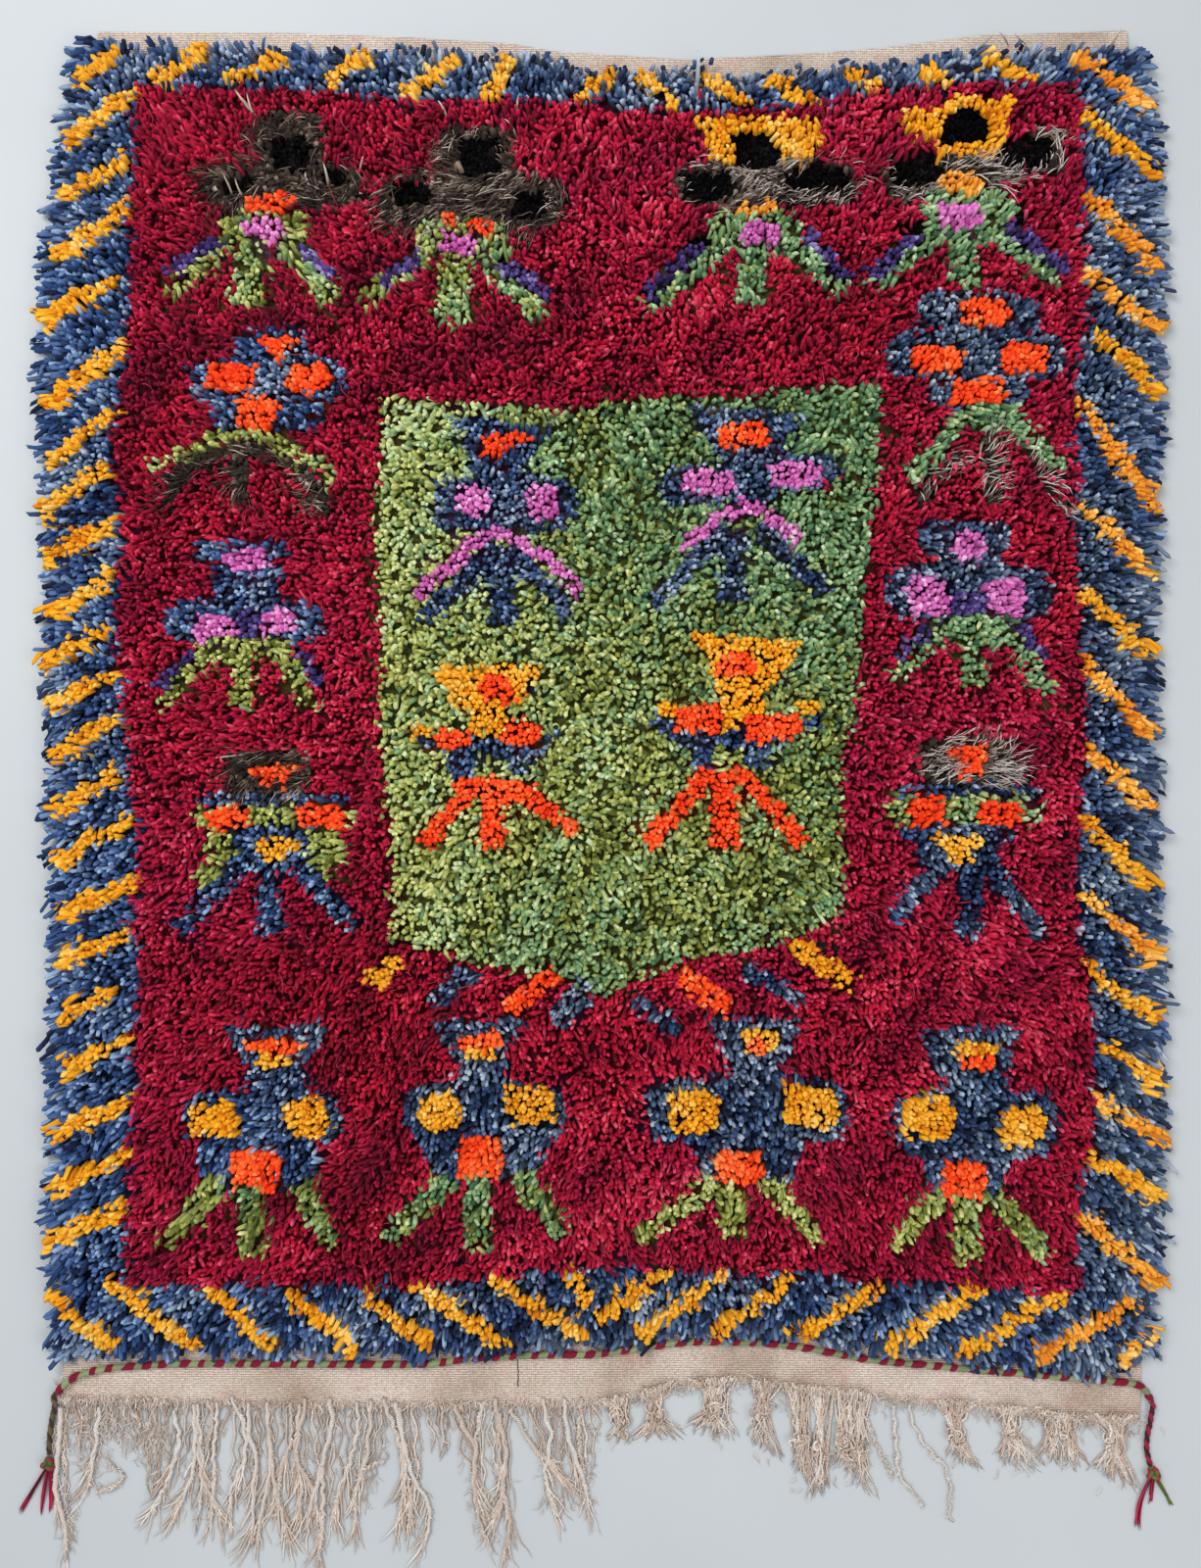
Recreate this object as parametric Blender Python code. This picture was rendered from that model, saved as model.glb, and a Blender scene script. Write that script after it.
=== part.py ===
"""A tulu rug lying flat: long shaggy pile on a flat woven ground, with a woven skirt and a fringe.

Metres, +Z up, the rug's length along Y. The origin is the middle of the ground weave's underside.
The tables hold places in millimetres on a chart of the rug, across from its left and down from its
top. CHART_MIDDLE is the origin on that chart, and place() turns a chart place into a point.
"""

import math
import random

import bmesh
import bpy
import numpy as np
from mathutils import Vector, noise

MM = 0.001
CHART_MIDDLE = (612.0, 722.0)
GAP = 0.3  # between pieces that touch
SEED = 7
EDGE_SOFTENING = (-14.0, -5.0, 5.0, 14.0)  # an outline is averaged over these steps along it

# Heights, in millimetres
WEAVE_THICK = 3.0
PILE_FOOT = WEAVE_THICK + GAP
PILE_HEIGHT = 26.0
PILE_RIM_HEIGHT = 19.5
LUMP_HEIGHT = 4.0
LUMP_LENGTH = 55.0
LUMP_SHIFT = 6.0  # how far a lump's point strays in plan
LUMP_STRAY = 2.6  # and in height

# The pile's plan, in millimetres. Its rim locks end on the outline of the tables below.
SIDE_LOCK = 22.0  # how far a lock on the two long sides reaches past the slab
END_LOCK = 15.0  # and on the two ends
CELLS_ACROSS = 29
CELLS_DOWN = 34
LOCK_SKEW = 5.0
LOCK_LENGTH_SPREAD = 0.12

# down, across
PILE_LEFT = (
    (36, 66), (72, 60), (140, 50), (220, 36), (300, 27), (500, 31), (1000, 41), (1275, 36), (1395, 43),
)
PILE_RIGHT = (
    (41, 1182), (150, 1194), (300, 1200), (520, 1194), (660, 1189), (900, 1194), (1045, 1199), (1250, 1199),
    (1400, 1190),
)
# across, down
PILE_TOP = ((66, 36), (281, 44), (547, 50), (587, 63), (695, 68), (820, 68), (1100, 41), (1182, 41))
PILE_BOTTOM = (
    (47, 1400), (88, 1390), (241, 1384), (420, 1387), (507, 1384), (588, 1376), (628, 1378), (681, 1370),
    (748, 1365), (820, 1371), (886, 1381), (967, 1389), (1047, 1397), (1101, 1403), (1180, 1400),
)

# A lock's sections: share of its reach, share of its root's width, underside and top in millimetres.
SIDE_SECTIONS = ((0.35, 0.80, 3.6, 15.0), (0.72, 0.58, 1.4, 9.0), (1.0, 0.36, 0.4, 3.4))
END_SECTIONS = ((0.35, 0.80, 3.4, 16.0), (0.72, 0.58, 3.4, 11.0), (1.0, 0.36, 3.4, 6.4))

# The ground weave's outline
# down, across
WEAVE_LEFT = (
    (23, 94), (72, 85), (140, 76), (220, 62), (300, 55), (500, 55), (700, 56), (1000, 62), (1275, 60),
    (1400, 59), (1437, 55),
)
WEAVE_RIGHT = (
    (22, 1157), (150, 1166), (300, 1172), (520, 1168), (660, 1163), (900, 1168), (1045, 1173), (1250, 1175),
    (1457, 1170),
)
# across, down
WEAVE_TOP = (
    (94, 23), (276, 24), (417, 29), (519, 35), (573, 44), (641, 48), (704, 52), (823, 46), (904, 40),
    (1005, 27), (1157, 22),
)
SKIRT_EDGE = (
    (55, 1437), (300, 1444), (600, 1443), (641, 1436), (690, 1422), (764, 1417), (807, 1425),
    (890, 1433), (958, 1441), (1006, 1444), (1066, 1452), (1108, 1457), (1170, 1457),
)
SIDE_STEPS = 18
TOP_STEPS = 22
SKIRT_STEPS = 46
CELLS_A_STEP = 3  # fringe cells along one step of the skirt's edge

# The twined line lies on the skirt, and its ends turn down into the two tails.
TWINED_RADIUS = 3.4
BEAD_LENGTH = 8.5
BEAD_NECK = 0.66
# across, down
TWINED_ROUTE = (
    (53, 1427), (62, 1417), (76, 1410), (100, 1405), (132, 1403), (208, 1400), (417, 1401), (478, 1395),
    (560, 1391), (598, 1392), (622, 1389), (669, 1381), (709, 1376), (777, 1376), (823, 1381),
    (890, 1393), (972, 1401), (1053, 1408), (1134, 1415), (1162, 1418), (1174, 1424), (1180, 1435),
)

# Fringe: where a clump's roots start and end, where its tips start and end, and how far its first and
# last strands hang below the skirt, all in millimetres, with the clump's sideways sway.
STRIP_WIDTH = 4.0
FRINGE_CLUMPS = (
    # root_from, root_to, tip_from, tip_to, first_length, last_length, sway
    (54, 62, 61, 61, 168, 168, -2),
    (62, 95, 74, 93, 84, 74, 2),
    (97, 143, 104, 140, 44, 58, -2),
    (145, 183, 144, 161, 104, 112, -2),
    (186, 232, 171, 208, 120, 146, -1),
    (234, 288, 230, 288, 124, 142, 2),
    (292, 343, 304, 341, 138, 132, 2),
    (346, 394, 352, 374, 133, 122, 3),
    (397, 425, 408, 428, 130, 156, 4),
    (426, 459, 437, 456, 50, 60, 2),
    (462, 524, 482, 524, 150, 166, -4),
    (528, 606, 552, 609, 132, 118, 6),
    (609, 646, 613, 643, 42, 46, 0),
    (650, 692, 651, 688, 56, 68, -2),
    (714, 754, 709, 749, 52, 64, 2),
    (769, 800, 770, 796, 76, 80, -2),
    (801, 849, 809, 846, 112, 122, 3),
    (853, 891, 860, 893, 98, 106, -2),
    (898, 906, 915, 915, 84, 84, 2),
    (925, 933, 946, 946, 106, 106, -2),
    (953, 1001, 974, 1005, 118, 64, 2),
    (1015, 1050, 1026, 1062, 58, 66, -2),
    (1056, 1106, 1074, 1116, 54, 58, 2),
    (1110, 1170, 1122, 1170, 58, 66, -2),
)
# A strand's sections: share of its length, width and height in millimetres
STRAND_SECTIONS = ((0.14, 4.4, 3.6), (0.55, 3.8, 3.2), (1.0, 2.2, 2.0))
STRAND_LENGTH_SPREAD = 0.07
STRAND_EASE = 1.2  # above 1, a strand leaves the skirt straight and leans later
HEADING_STEP = 4.0

# Tails: the route of each and its knot. Columns: across, down, height of the middle, in millimetres.
TAIL_RADIUS = 3.0
TAIL_LOW = TAIL_RADIUS + 0.1
TAIL_STEP = 6.0
TAIL_GAP = 0.5
TAIL_ROUTES = {
    "tail_left": (
        (50, 1440, 5.6), (47, 1453, 3.6), (44.5, 1468, TAIL_LOW), (43.5, 1482, TAIL_LOW),
        (43.5, 1492.2, TAIL_LOW),
    ),
    "tail_right": (
        (1182, 1446, 5.4), (1181, 1458, 3.5), (1178, 1473, TAIL_LOW), (1177.5, 1488, TAIL_LOW),
        (1181, 1503.4, TAIL_LOW),
    ),
}
# middle across, middle down, radius across, radius down
KNOTS = {"tail_left": (43.5, 1501.0, 9.0, 8.0), "tail_right": (1183.5, 1511.2, 9.0, 8.0)}
KNOT_HEIGHT = 11.0
KNOT_SWELL = 0.09  # how far, as a share, the knot's two turns stand out
# For each loose end: across and down at its middle and at its tip
LOOSE_ENDS = {
    "tail_left": ((28, 1527, 12, 1555), (38, 1530, 33, 1557), (49, 1529, 45, 1551)),
    "tail_right": ((1171, 1542, 1168, 1572), (1183, 1530, 1181, 1544), (1196, 1531, 1205, 1548)),
}
# A loose end's width and height at its middle and at its tip
LOOSE_SECTIONS = ((3.6, 3.4), (2.0, 2.0))
LOOSE_DIP = 0.25  # how steeply a loose end leaves the knot

COLOURS = {
    # red, green, blue, roughness
    "undyed_warp": (0.56, 0.44, 0.30, 0.95),
    "pile_wool": (0.42, 0.02, 0.06, 0.9),
    "twined_wool": (0.28, 0.05, 0.05, 0.9),
    "fringe_yarn": (0.54, 0.42, 0.29, 0.95),
    "tail_wool": (0.16, 0.02, 0.04, 0.9),
    "knot_wool": (0.40, 0.05, 0.05, 0.9),
}


def place(across, down, height=0.0):
    """The point at a chart place, this many millimetres above the floor."""
    return Vector(((across - CHART_MIDDLE[0]) * MM, (CHART_MIDDLE[1] - down) * MM, height * MM))


def lerp(a, b, share):
    return a + (b - a) * share


def edge_at(table, at):
    """A table's second column at a value of its first, with the kinks softened."""
    first, second = zip(*table)
    return float(np.mean(np.interp([at + step for step in EDGE_SOFTENING], first, second)))


def smooth_route(points, step):
    """Points about step apart on a smooth curve through these points."""
    points = [Vector(p) for p in points]
    padded = [2 * points[0] - points[1], *points, 2 * points[-1] - points[-2]]
    route = []
    for a, b, c, d in zip(padded, padded[1:], padded[2:], padded[3:]):
        count = max(1, round((c - b).length / step))
        square, cube = 2 * a - 5 * b + 4 * c - d, 3 * b - a - 3 * c + d
        for t in (k / count for k in range(count)):
            route.append(0.5 * (2 * b + (c - a) * t + square * t**2 + cube * t**3))
    return [*route, points[-1]]


def make_material(name):
    red, green, blue, roughness = COLOURS[name]
    material = bpy.data.materials.new(name)
    material.use_nodes = True
    shader = material.node_tree.nodes["Principled BSDF"]
    shader.inputs["Base Color"].default_value = (red, green, blue, 1.0)
    shader.inputs["Roughness"].default_value = roughness
    shader.inputs["Metallic"].default_value = 0.0
    return material


def add_object(name, data, material):
    """Puts a new object in the rug's collection."""
    obj = bpy.data.objects.new(name, data)
    data.materials.append(material)
    bpy.data.collections["tulu_rug"].objects.link(obj)
    return obj


def add_mesh(name, bm, material):
    """Turns a finished bmesh into an object whose faces point out."""
    bmesh.ops.recalc_face_normals(bm, faces=bm.faces)
    mesh = bpy.data.meshes.new(name)
    bm.to_mesh(mesh)
    bm.free()
    return add_object(name, mesh, material)


def draw_out(bm, face, sections):
    """Extrudes a four-sided face through sections: middle, half width as a vector, underside and top."""
    for middle, half, under, over in sections:
        root = face.calc_center_median()
        face = bmesh.ops.extrude_discrete_faces(bm, faces=[face])["faces"][0]
        for vert in face.verts:
            spot = middle + (half if (vert.co - root).dot(half) > 0 else -half)
            height = over if vert.co.z > root.z else under
            vert.co = (spot.x, spot.y, height * MM)


def poly_tube(name, points, radius, sides_setting, material, radii=None):
    """A tube along points, as a curve with filled ends."""
    curve = bpy.data.curves.new(name, "CURVE")
    curve.dimensions = "3D"
    curve.bevel_depth = radius * MM
    curve.bevel_resolution = sides_setting
    curve.use_fill_caps = True
    spline = curve.splines.new("POLY")
    spline.points.add(len(points) - 1)
    for i, point in enumerate(points):
        spline.points[i].co = (*point, 1.0)
        spline.points[i].radius = radii[i] if radii else 1.0
    return add_object(name, curve, material)


def skirt_stations():
    """Chart places along the skirt's lower edge, from its left to its right."""
    start, end = SKIRT_EDGE[0][0], SKIRT_EDGE[-1][0]
    stations = (lerp(start, end, i / SKIRT_STEPS) for i in range(SKIRT_STEPS + 1))
    return [(across, edge_at(SKIRT_EDGE, across)) for across in stations]


def make_ground_weave():
    """The woven ground: a flat sheet from the kilim band at the top to the skirt at the bottom."""
    skirt = skirt_stations()
    across_top = np.linspace(WEAVE_TOP[-1][0], WEAVE_TOP[0][0], TOP_STEPS + 1)
    top = [(across, edge_at(WEAVE_TOP, across)) for across in across_top]
    up_right = np.linspace(skirt[-1][1], top[0][1], SIDE_STEPS + 1)[1:-1]
    down_left = np.linspace(top[-1][1], skirt[0][1], SIDE_STEPS + 1)[1:-1]
    outline = [
        *skirt,
        *((edge_at(WEAVE_RIGHT, down), down) for down in up_right),
        *top,
        *((edge_at(WEAVE_LEFT, down), down) for down in down_left),
    ]
    curve = bpy.data.curves.new("ground_weave", "CURVE")
    curve.dimensions = "2D"
    curve.fill_mode = "BOTH"
    curve.extrude = WEAVE_THICK * MM / 2
    spline = curve.splines.new("POLY")
    spline.points.add(len(outline) - 1)
    for i, (across, down) in enumerate(outline):
        spline.points[i].co = (*place(across, down), 1.0)
    spline.use_cyclic_u = True
    sheet = add_object("ground_weave", curve, make_material("undyed_warp"))
    sheet.location.z = WEAVE_THICK * MM / 2


def pile_plan(u, v):
    """The chart place of a share u across the slab and a share v down it."""
    level = lerp(PILE_TOP[0][1], PILE_BOTTOM[0][1], v)
    left = edge_at(PILE_LEFT, level) + SIDE_LOCK
    right = edge_at(PILE_RIGHT, level) - SIDE_LOCK
    across = lerp(left, right, u)
    top = edge_at(PILE_TOP, across) + END_LOCK
    bottom = edge_at(PILE_BOTTOM, across) - END_LOCK
    return across, lerp(top, bottom, v)


def pile_top(across, down, on_rim):
    """The slab's height there, with its lumps."""
    lump = noise.noise(Vector((across, down, 0.0)) / LUMP_LENGTH)
    return (PILE_RIM_HEIGHT if on_rim else PILE_HEIGHT) + LUMP_HEIGHT * lump


def make_pile():
    """The long pile: a lumpy slab with a flat underside and a lock on each face of its rim."""
    rng = random.Random(SEED)
    bm = bmesh.new()
    bmesh.ops.create_grid(bm, x_segments=CELLS_ACROSS, y_segments=CELLS_DOWN, size=0.5)
    for vert in bm.verts:
        across, down = pile_plan(vert.co.x + 0.5, 0.5 - vert.co.y)
        height = pile_top(across, down, vert.is_boundary)
        if not vert.is_boundary:
            across += rng.uniform(-LUMP_SHIFT, LUMP_SHIFT)
            down += rng.uniform(-LUMP_SHIFT, LUMP_SHIFT)
            height += rng.uniform(-LUMP_STRAY, LUMP_STRAY)
        vert.co = place(across, down, height)
    rim = [edge for edge in bm.edges if edge.is_boundary]
    skirt = bmesh.ops.extrude_edge_only(bm, edges=rim)["geom"]
    for vert in (g for g in skirt if isinstance(g, bmesh.types.BMVert)):
        vert.co.z = PILE_FOOT * MM
    foot = [edge for edge in bm.edges if edge.is_boundary]
    sides = [g for g in skirt if isinstance(g, bmesh.types.BMFace)]
    bmesh.ops.holes_fill(bm, edges=foot, sides=0)
    bmesh.ops.recalc_face_normals(bm, faces=bm.faces)
    for face in sides:
        draw_out(bm, face, lock_sections(face, rng))
    add_mesh("pile", bm, make_material("pile_wool"))


def lock_sections(face, rng):
    """The sections of one rim lock, which leaves the slab square to its edge and droops."""
    outward = Vector((face.normal.x, face.normal.y, 0.0)).normalized()
    along = Vector((-outward.y, outward.x, 0.0))
    on_side = abs(outward.x) > abs(outward.y)
    reach = (SIDE_LOCK if on_side else END_LOCK) * MM
    reach *= 1 - rng.uniform(0, LOCK_LENGTH_SPREAD)
    skew = rng.uniform(-LOCK_SKEW, LOCK_SKEW) * MM
    root = face.calc_center_median()
    width = max((a.co - b.co).xy.length for a in face.verts for b in face.verts)
    sections = []
    for share, narrower, under, over in SIDE_SECTIONS if on_side else END_SECTIONS:
        middle = root + outward * reach * share + along * skew * share**2
        sections.append((middle, along * width * narrower / 2, under, over))
    return sections


def make_twined_cord():
    """The twined line on the skirt: a tube whose radius swells at each bead. Returns its points."""
    height = PILE_FOOT + TWINED_RADIUS
    route = [place(across, down, height) for across, down in TWINED_ROUTE]
    points = smooth_route(route, BEAD_LENGTH * MM / 2)
    radii = [1.0 if i % 2 else BEAD_NECK for i in range(len(points))]
    poly_tube("twined_cord", points, TWINED_RADIUS, 0, make_material("twined_wool"), radii)
    return points


def fringe_cells():
    """Chart places of the cell ends along the skirt's lower edge."""
    stations = skirt_stations()
    cells = []
    for (x0, y0), (x1, y1) in zip(stations, stations[1:]):
        for k in range(CELLS_A_STEP):
            cells.append((lerp(x0, x1, k / CELLS_A_STEP), lerp(y0, y1, k / CELLS_A_STEP)))
    return [*cells, stations[-1]]


def clump_strands(cells):
    """For each strand its cell's number, its tip's place across and the fields of its clump."""
    middles = [(a[0] + b[0]) / 2 for a, b in zip(cells, cells[1:])]
    for row in FRINGE_CLUMPS:
        root_from, root_to, tip_from, tip_to, first, last, sway = row
        held = [i for i, middle in enumerate(middles) if root_from <= middle <= root_to]
        for k, cell in enumerate(held):
            share = k / max(1, len(held) - 1)
            yield cell, lerp(tip_from, tip_to, share), lerp(first, last, share), max(first, last), sway


def strand_sections(root, tip_across, length, clump_length, sway):
    """The sections of a strand that lies level on the floor."""

    def spot(down):
        share = down / clump_length
        bend = sway * math.sin(math.pi * share)
        return place(lerp(root[0], tip_across, share**STRAND_EASE) + bend, root[1] + down)

    sections = []
    for share, width, over in STRAND_SECTIONS:
        middle = spot(length * share)
        heading = (middle - spot(length * share - HEADING_STEP)).normalized()
        across = Vector((-heading.y, heading.x, 0.0)) * width / 2 * MM
        sections.append((middle, across, 0.0, over))
    return sections


def make_fringe():
    """The fringe: a narrow strip along the skirt's edge, and strands drawn out from its front."""
    rng = random.Random(SEED)
    cells = fringe_cells()
    bm = bmesh.new()
    bmesh.ops.create_grid(bm, x_segments=len(cells) - 1, y_segments=1, size=0.5)
    raised = set(bmesh.ops.extrude_face_region(bm, geom=bm.faces[:])["geom"])
    for vert in bm.verts:
        across, down = cells[round((vert.co.x + 0.5) * (len(cells) - 1))]
        down += GAP + (STRIP_WIDTH if vert.co.y < 0 else 0.0)
        vert.co = place(across, down, WEAVE_THICK if vert in raised else 0.0)
    bmesh.ops.recalc_face_normals(bm, faces=bm.faces)
    bm.normal_update()
    fronts = sorted(
        (face for face in bm.faces if face.normal.y < -0.5), key=lambda face: face.calc_center_median().x
    )
    for cell, tip, length, longest, sway in clump_strands(cells):
        (x0, y0), (x1, y1) = cells[cell], cells[cell + 1]
        root = ((x0 + x1) / 2, (y0 + y1) / 2 + GAP + STRIP_WIDTH)
        length *= 1 - rng.uniform(0, STRAND_LENGTH_SPREAD)
        draw_out(bm, fronts[cell], strand_sections(root, tip, length, longest, sway))
    add_mesh("fringe", bm, make_material("fringe_yarn"))


def make_tail(name, cord_end, cord_before):
    """A free end of the twined line, from the line's last bead down to the floor and its knot."""
    onward = (cord_end - cord_before).normalized() * MM
    start = [cord_end + onward * TAIL_GAP, cord_end + onward * TAIL_STEP]
    route = [*start, *(place(*row) for row in TAIL_ROUTES[name])]
    poly_tube(name, smooth_route(route, TAIL_STEP * MM), TAIL_RADIUS, 2, make_material("tail_wool"))


def make_knot(name):
    """The knot at a tail's end, with its loose ends drawn out from its lower faces."""
    across, down, radius_across, radius_down = KNOTS[name]
    middle = place(across, down, KNOT_HEIGHT / 2)
    bm = bmesh.new()
    bmesh.ops.create_uvsphere(bm, u_segments=12, v_segments=6, radius=1.0)
    for vert in bm.verts:
        turn = math.atan2(vert.co.y, vert.co.x)
        swell = 1.0 + KNOT_SWELL * math.sin(2 * turn + math.pi * vert.co.z)
        size = Vector((radius_across * swell, radius_down * swell, KNOT_HEIGHT / 2))
        vert.co = middle + Vector(a * b for a, b in zip(vert.co, size)) * MM
    bm.normal_update()
    low = [face for face in bm.faces if len(face.verts) == 4 and face.calc_center_median().z < middle.z]
    for mid_across, mid_down, tip_across, tip_down in LOOSE_ENDS[name]:
        bend, tip = place(mid_across, mid_down), place(tip_across, tip_down)
        first = bend - middle
        first.z = -LOOSE_DIP * first.length
        face = max(low, key=lambda f: f.normal.dot(first.normalized()))
        low.remove(face)
        sections = []
        for (width, over), before, spot in zip(LOOSE_SECTIONS, (middle, bend), (bend, tip)):
            heading = (spot - before).xy.normalized()
            half = Vector((-heading.y, heading.x, 0.0)) * width / 2 * MM
            sections.append((spot, half, 0.0, over))
        draw_out(bm, face, sections)
    add_mesh(f"{name}_knot", bm, make_material("knot_wool"))


def main():
    for obj in list(bpy.data.objects):
        bpy.data.objects.remove(obj)
    bpy.context.scene.collection.children.link(bpy.data.collections.new("tulu_rug"))
    make_ground_weave()
    make_pile()
    line = make_twined_cord()
    make_fringe()
    make_tail("tail_left", line[0], line[1])
    make_tail("tail_right", line[-1], line[-2])
    make_knot("tail_left")
    make_knot("tail_right")


main()
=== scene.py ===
"""The looks of a tulu, a long-piled village rug, lying flat on a pale floor and seen from above.

Metres, +Z up. The tables hold places in millimetres on a chart of the rug, across from its left and
down from its top, and place() turns chart places into points of the frame.
"""

import math

import bpy
import numpy as np
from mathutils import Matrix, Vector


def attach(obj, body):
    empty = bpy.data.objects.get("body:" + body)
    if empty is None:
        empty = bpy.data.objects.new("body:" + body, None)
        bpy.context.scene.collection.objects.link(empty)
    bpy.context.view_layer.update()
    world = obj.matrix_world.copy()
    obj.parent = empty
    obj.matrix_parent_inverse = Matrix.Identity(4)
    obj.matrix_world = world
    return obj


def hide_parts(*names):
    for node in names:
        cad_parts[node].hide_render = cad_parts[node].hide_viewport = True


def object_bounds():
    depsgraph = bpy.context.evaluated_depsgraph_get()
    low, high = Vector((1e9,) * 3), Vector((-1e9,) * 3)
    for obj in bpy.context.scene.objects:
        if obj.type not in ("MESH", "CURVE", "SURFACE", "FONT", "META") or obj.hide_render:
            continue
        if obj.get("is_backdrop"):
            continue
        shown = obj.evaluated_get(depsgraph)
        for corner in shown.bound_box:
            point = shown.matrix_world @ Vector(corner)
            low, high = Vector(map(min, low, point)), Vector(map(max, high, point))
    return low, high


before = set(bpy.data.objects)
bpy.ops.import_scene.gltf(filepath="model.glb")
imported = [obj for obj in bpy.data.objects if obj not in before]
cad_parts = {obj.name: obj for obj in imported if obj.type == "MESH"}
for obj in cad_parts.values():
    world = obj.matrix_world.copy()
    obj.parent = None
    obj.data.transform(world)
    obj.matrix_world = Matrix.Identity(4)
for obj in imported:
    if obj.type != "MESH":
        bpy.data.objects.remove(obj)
CAD_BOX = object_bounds()

MM = 0.001
CHART_MIDDLE = np.array((612.0, 722.0, 0.0))
CHART_SIZE = (1300, 1500)
TO_METRES = np.array((MM, -MM, MM))
TINY = 1e-9
SEED = 11

# The camera looks straight down on the middle of the picture.
CAMERA_AT = (0.001, -0.078, 1.6)
LENS = 35.5
SENSOR = 36.0
# Columns: name, place, size, power
LIGHTS = (("key", (-1.3, 1.2, 2.9), 1.6, 84.0), ("fill", (1.5, -1.2, 2.7), 2.2, 30.0))
SURROUND = 0.6
SURROUND_COLOUR = (0.9, 0.95, 1.0, 1.0)
FLOOR_SIZE = 6.0
FLOOR_AT = (0, -0.08, -0.4 * MM)
FLOOR_DARK = (0.46, 0.48, 0.49, 1.0)
FLOOR_LIGHT = (0.49, 0.51, 0.52, 1.0)

# Outlines, as on the rug's construction. Columns: down, across
PILE_LEFT = (
    (36, 66), (72, 60), (140, 50), (220, 36), (300, 27), (500, 31), (1000, 41), (1275, 36), (1395, 43),
)
PILE_RIGHT = (
    (41, 1182), (150, 1194), (300, 1200), (520, 1194), (660, 1189), (900, 1194), (1045, 1199),
    (1250, 1199), (1400, 1190),
)
WEAVE_LEFT = (
    (23, 94), (72, 85), (140, 76), (220, 62), (300, 55), (500, 55), (700, 56), (1000, 62), (1275, 60),
    (1400, 59), (1437, 55),
)
WEAVE_RIGHT = (
    (22, 1157), (150, 1166), (300, 1172), (520, 1168), (660, 1163), (900, 1168), (1045, 1173),
    (1250, 1175), (1457, 1170),
)
FIELD_LEFT = (
    (80, 137), (160, 135), (240, 129), (320, 131), (388, 121), (447, 114), (505, 117), (564, 123),
    (623, 117), (740, 124), (849, 139), (910, 134), (1007, 139), (1123, 134), (1180, 127), (1320, 126),
)
FIELD_RIGHT = (
    (90, 1105), (277, 1110), (300, 1114), (402, 1096), (479, 1105), (540, 1096), (617, 1105), (766, 1108),
    (838, 1105), (912, 1100), (990, 1110), (1070, 1119), (1130, 1120), (1185, 1114), (1240, 1100),
    (1320, 1108),
)
PANEL_LEFT = (
    (380, 388), (432, 389), (483, 383), (587, 383), (655, 387), (738, 387), (875, 397), (962, 397),
)
PANEL_RIGHT = ((380, 903), (483, 897), (621, 883), (738, 872), (772, 862), (931, 862), (965, 858))
# Columns: across, down
PILE_TOP = (
    (66, 40), (281, 48), (400, 51), (547, 54), (587, 67), (695, 72), (820, 72), (1100, 45), (1182, 43),
)
PILE_BOTTOM = (
    (47, 1402), (88, 1388), (241, 1382), (420, 1385), (507, 1382), (588, 1374), (628, 1377), (681, 1370),
    (748, 1365), (820, 1370), (886, 1380), (967, 1389), (1047, 1399), (1101, 1403), (1180, 1400),
)
WEAVE_TOP = (
    (94, 23), (276, 24), (417, 29), (519, 35), (573, 44), (641, 48), (704, 52), (823, 46), (904, 40),
    (1005, 27), (1157, 22),
)
SKIRT_EDGE = (
    (55, 1437), (300, 1444), (600, 1443), (641, 1436), (690, 1422), (764, 1417), (807, 1425),
    (890, 1433), (958, 1441), (1006, 1444), (1066, 1452), (1108, 1457), (1170, 1457),
)
FIELD_TOP = (
    (130, 86), (241, 86), (330, 92), (420, 102), (534, 99), (628, 110), (748, 112), (820, 105), (912, 90),
    (985, 83), (1110, 83),
)
FIELD_BOTTOM = (
    (125, 1314), (420, 1314), (507, 1304), (601, 1296), (695, 1298), (820, 1298), (886, 1308),
    (967, 1314),
    (1047, 1321), (1110, 1321),
)
PANEL_TOP = (
    (383, 406), (401, 406), (483, 411), (580, 418), (642, 408), (759, 404), (828, 395), (903, 389),
)
PANEL_BOTTOM = (
    (383, 960), (463, 975), (518, 993), (563, 996), (600, 1010), (618, 1022), (642, 1003), (711, 979),
    (786, 965), (838, 948), (862, 932), (903, 925),
)

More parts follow.
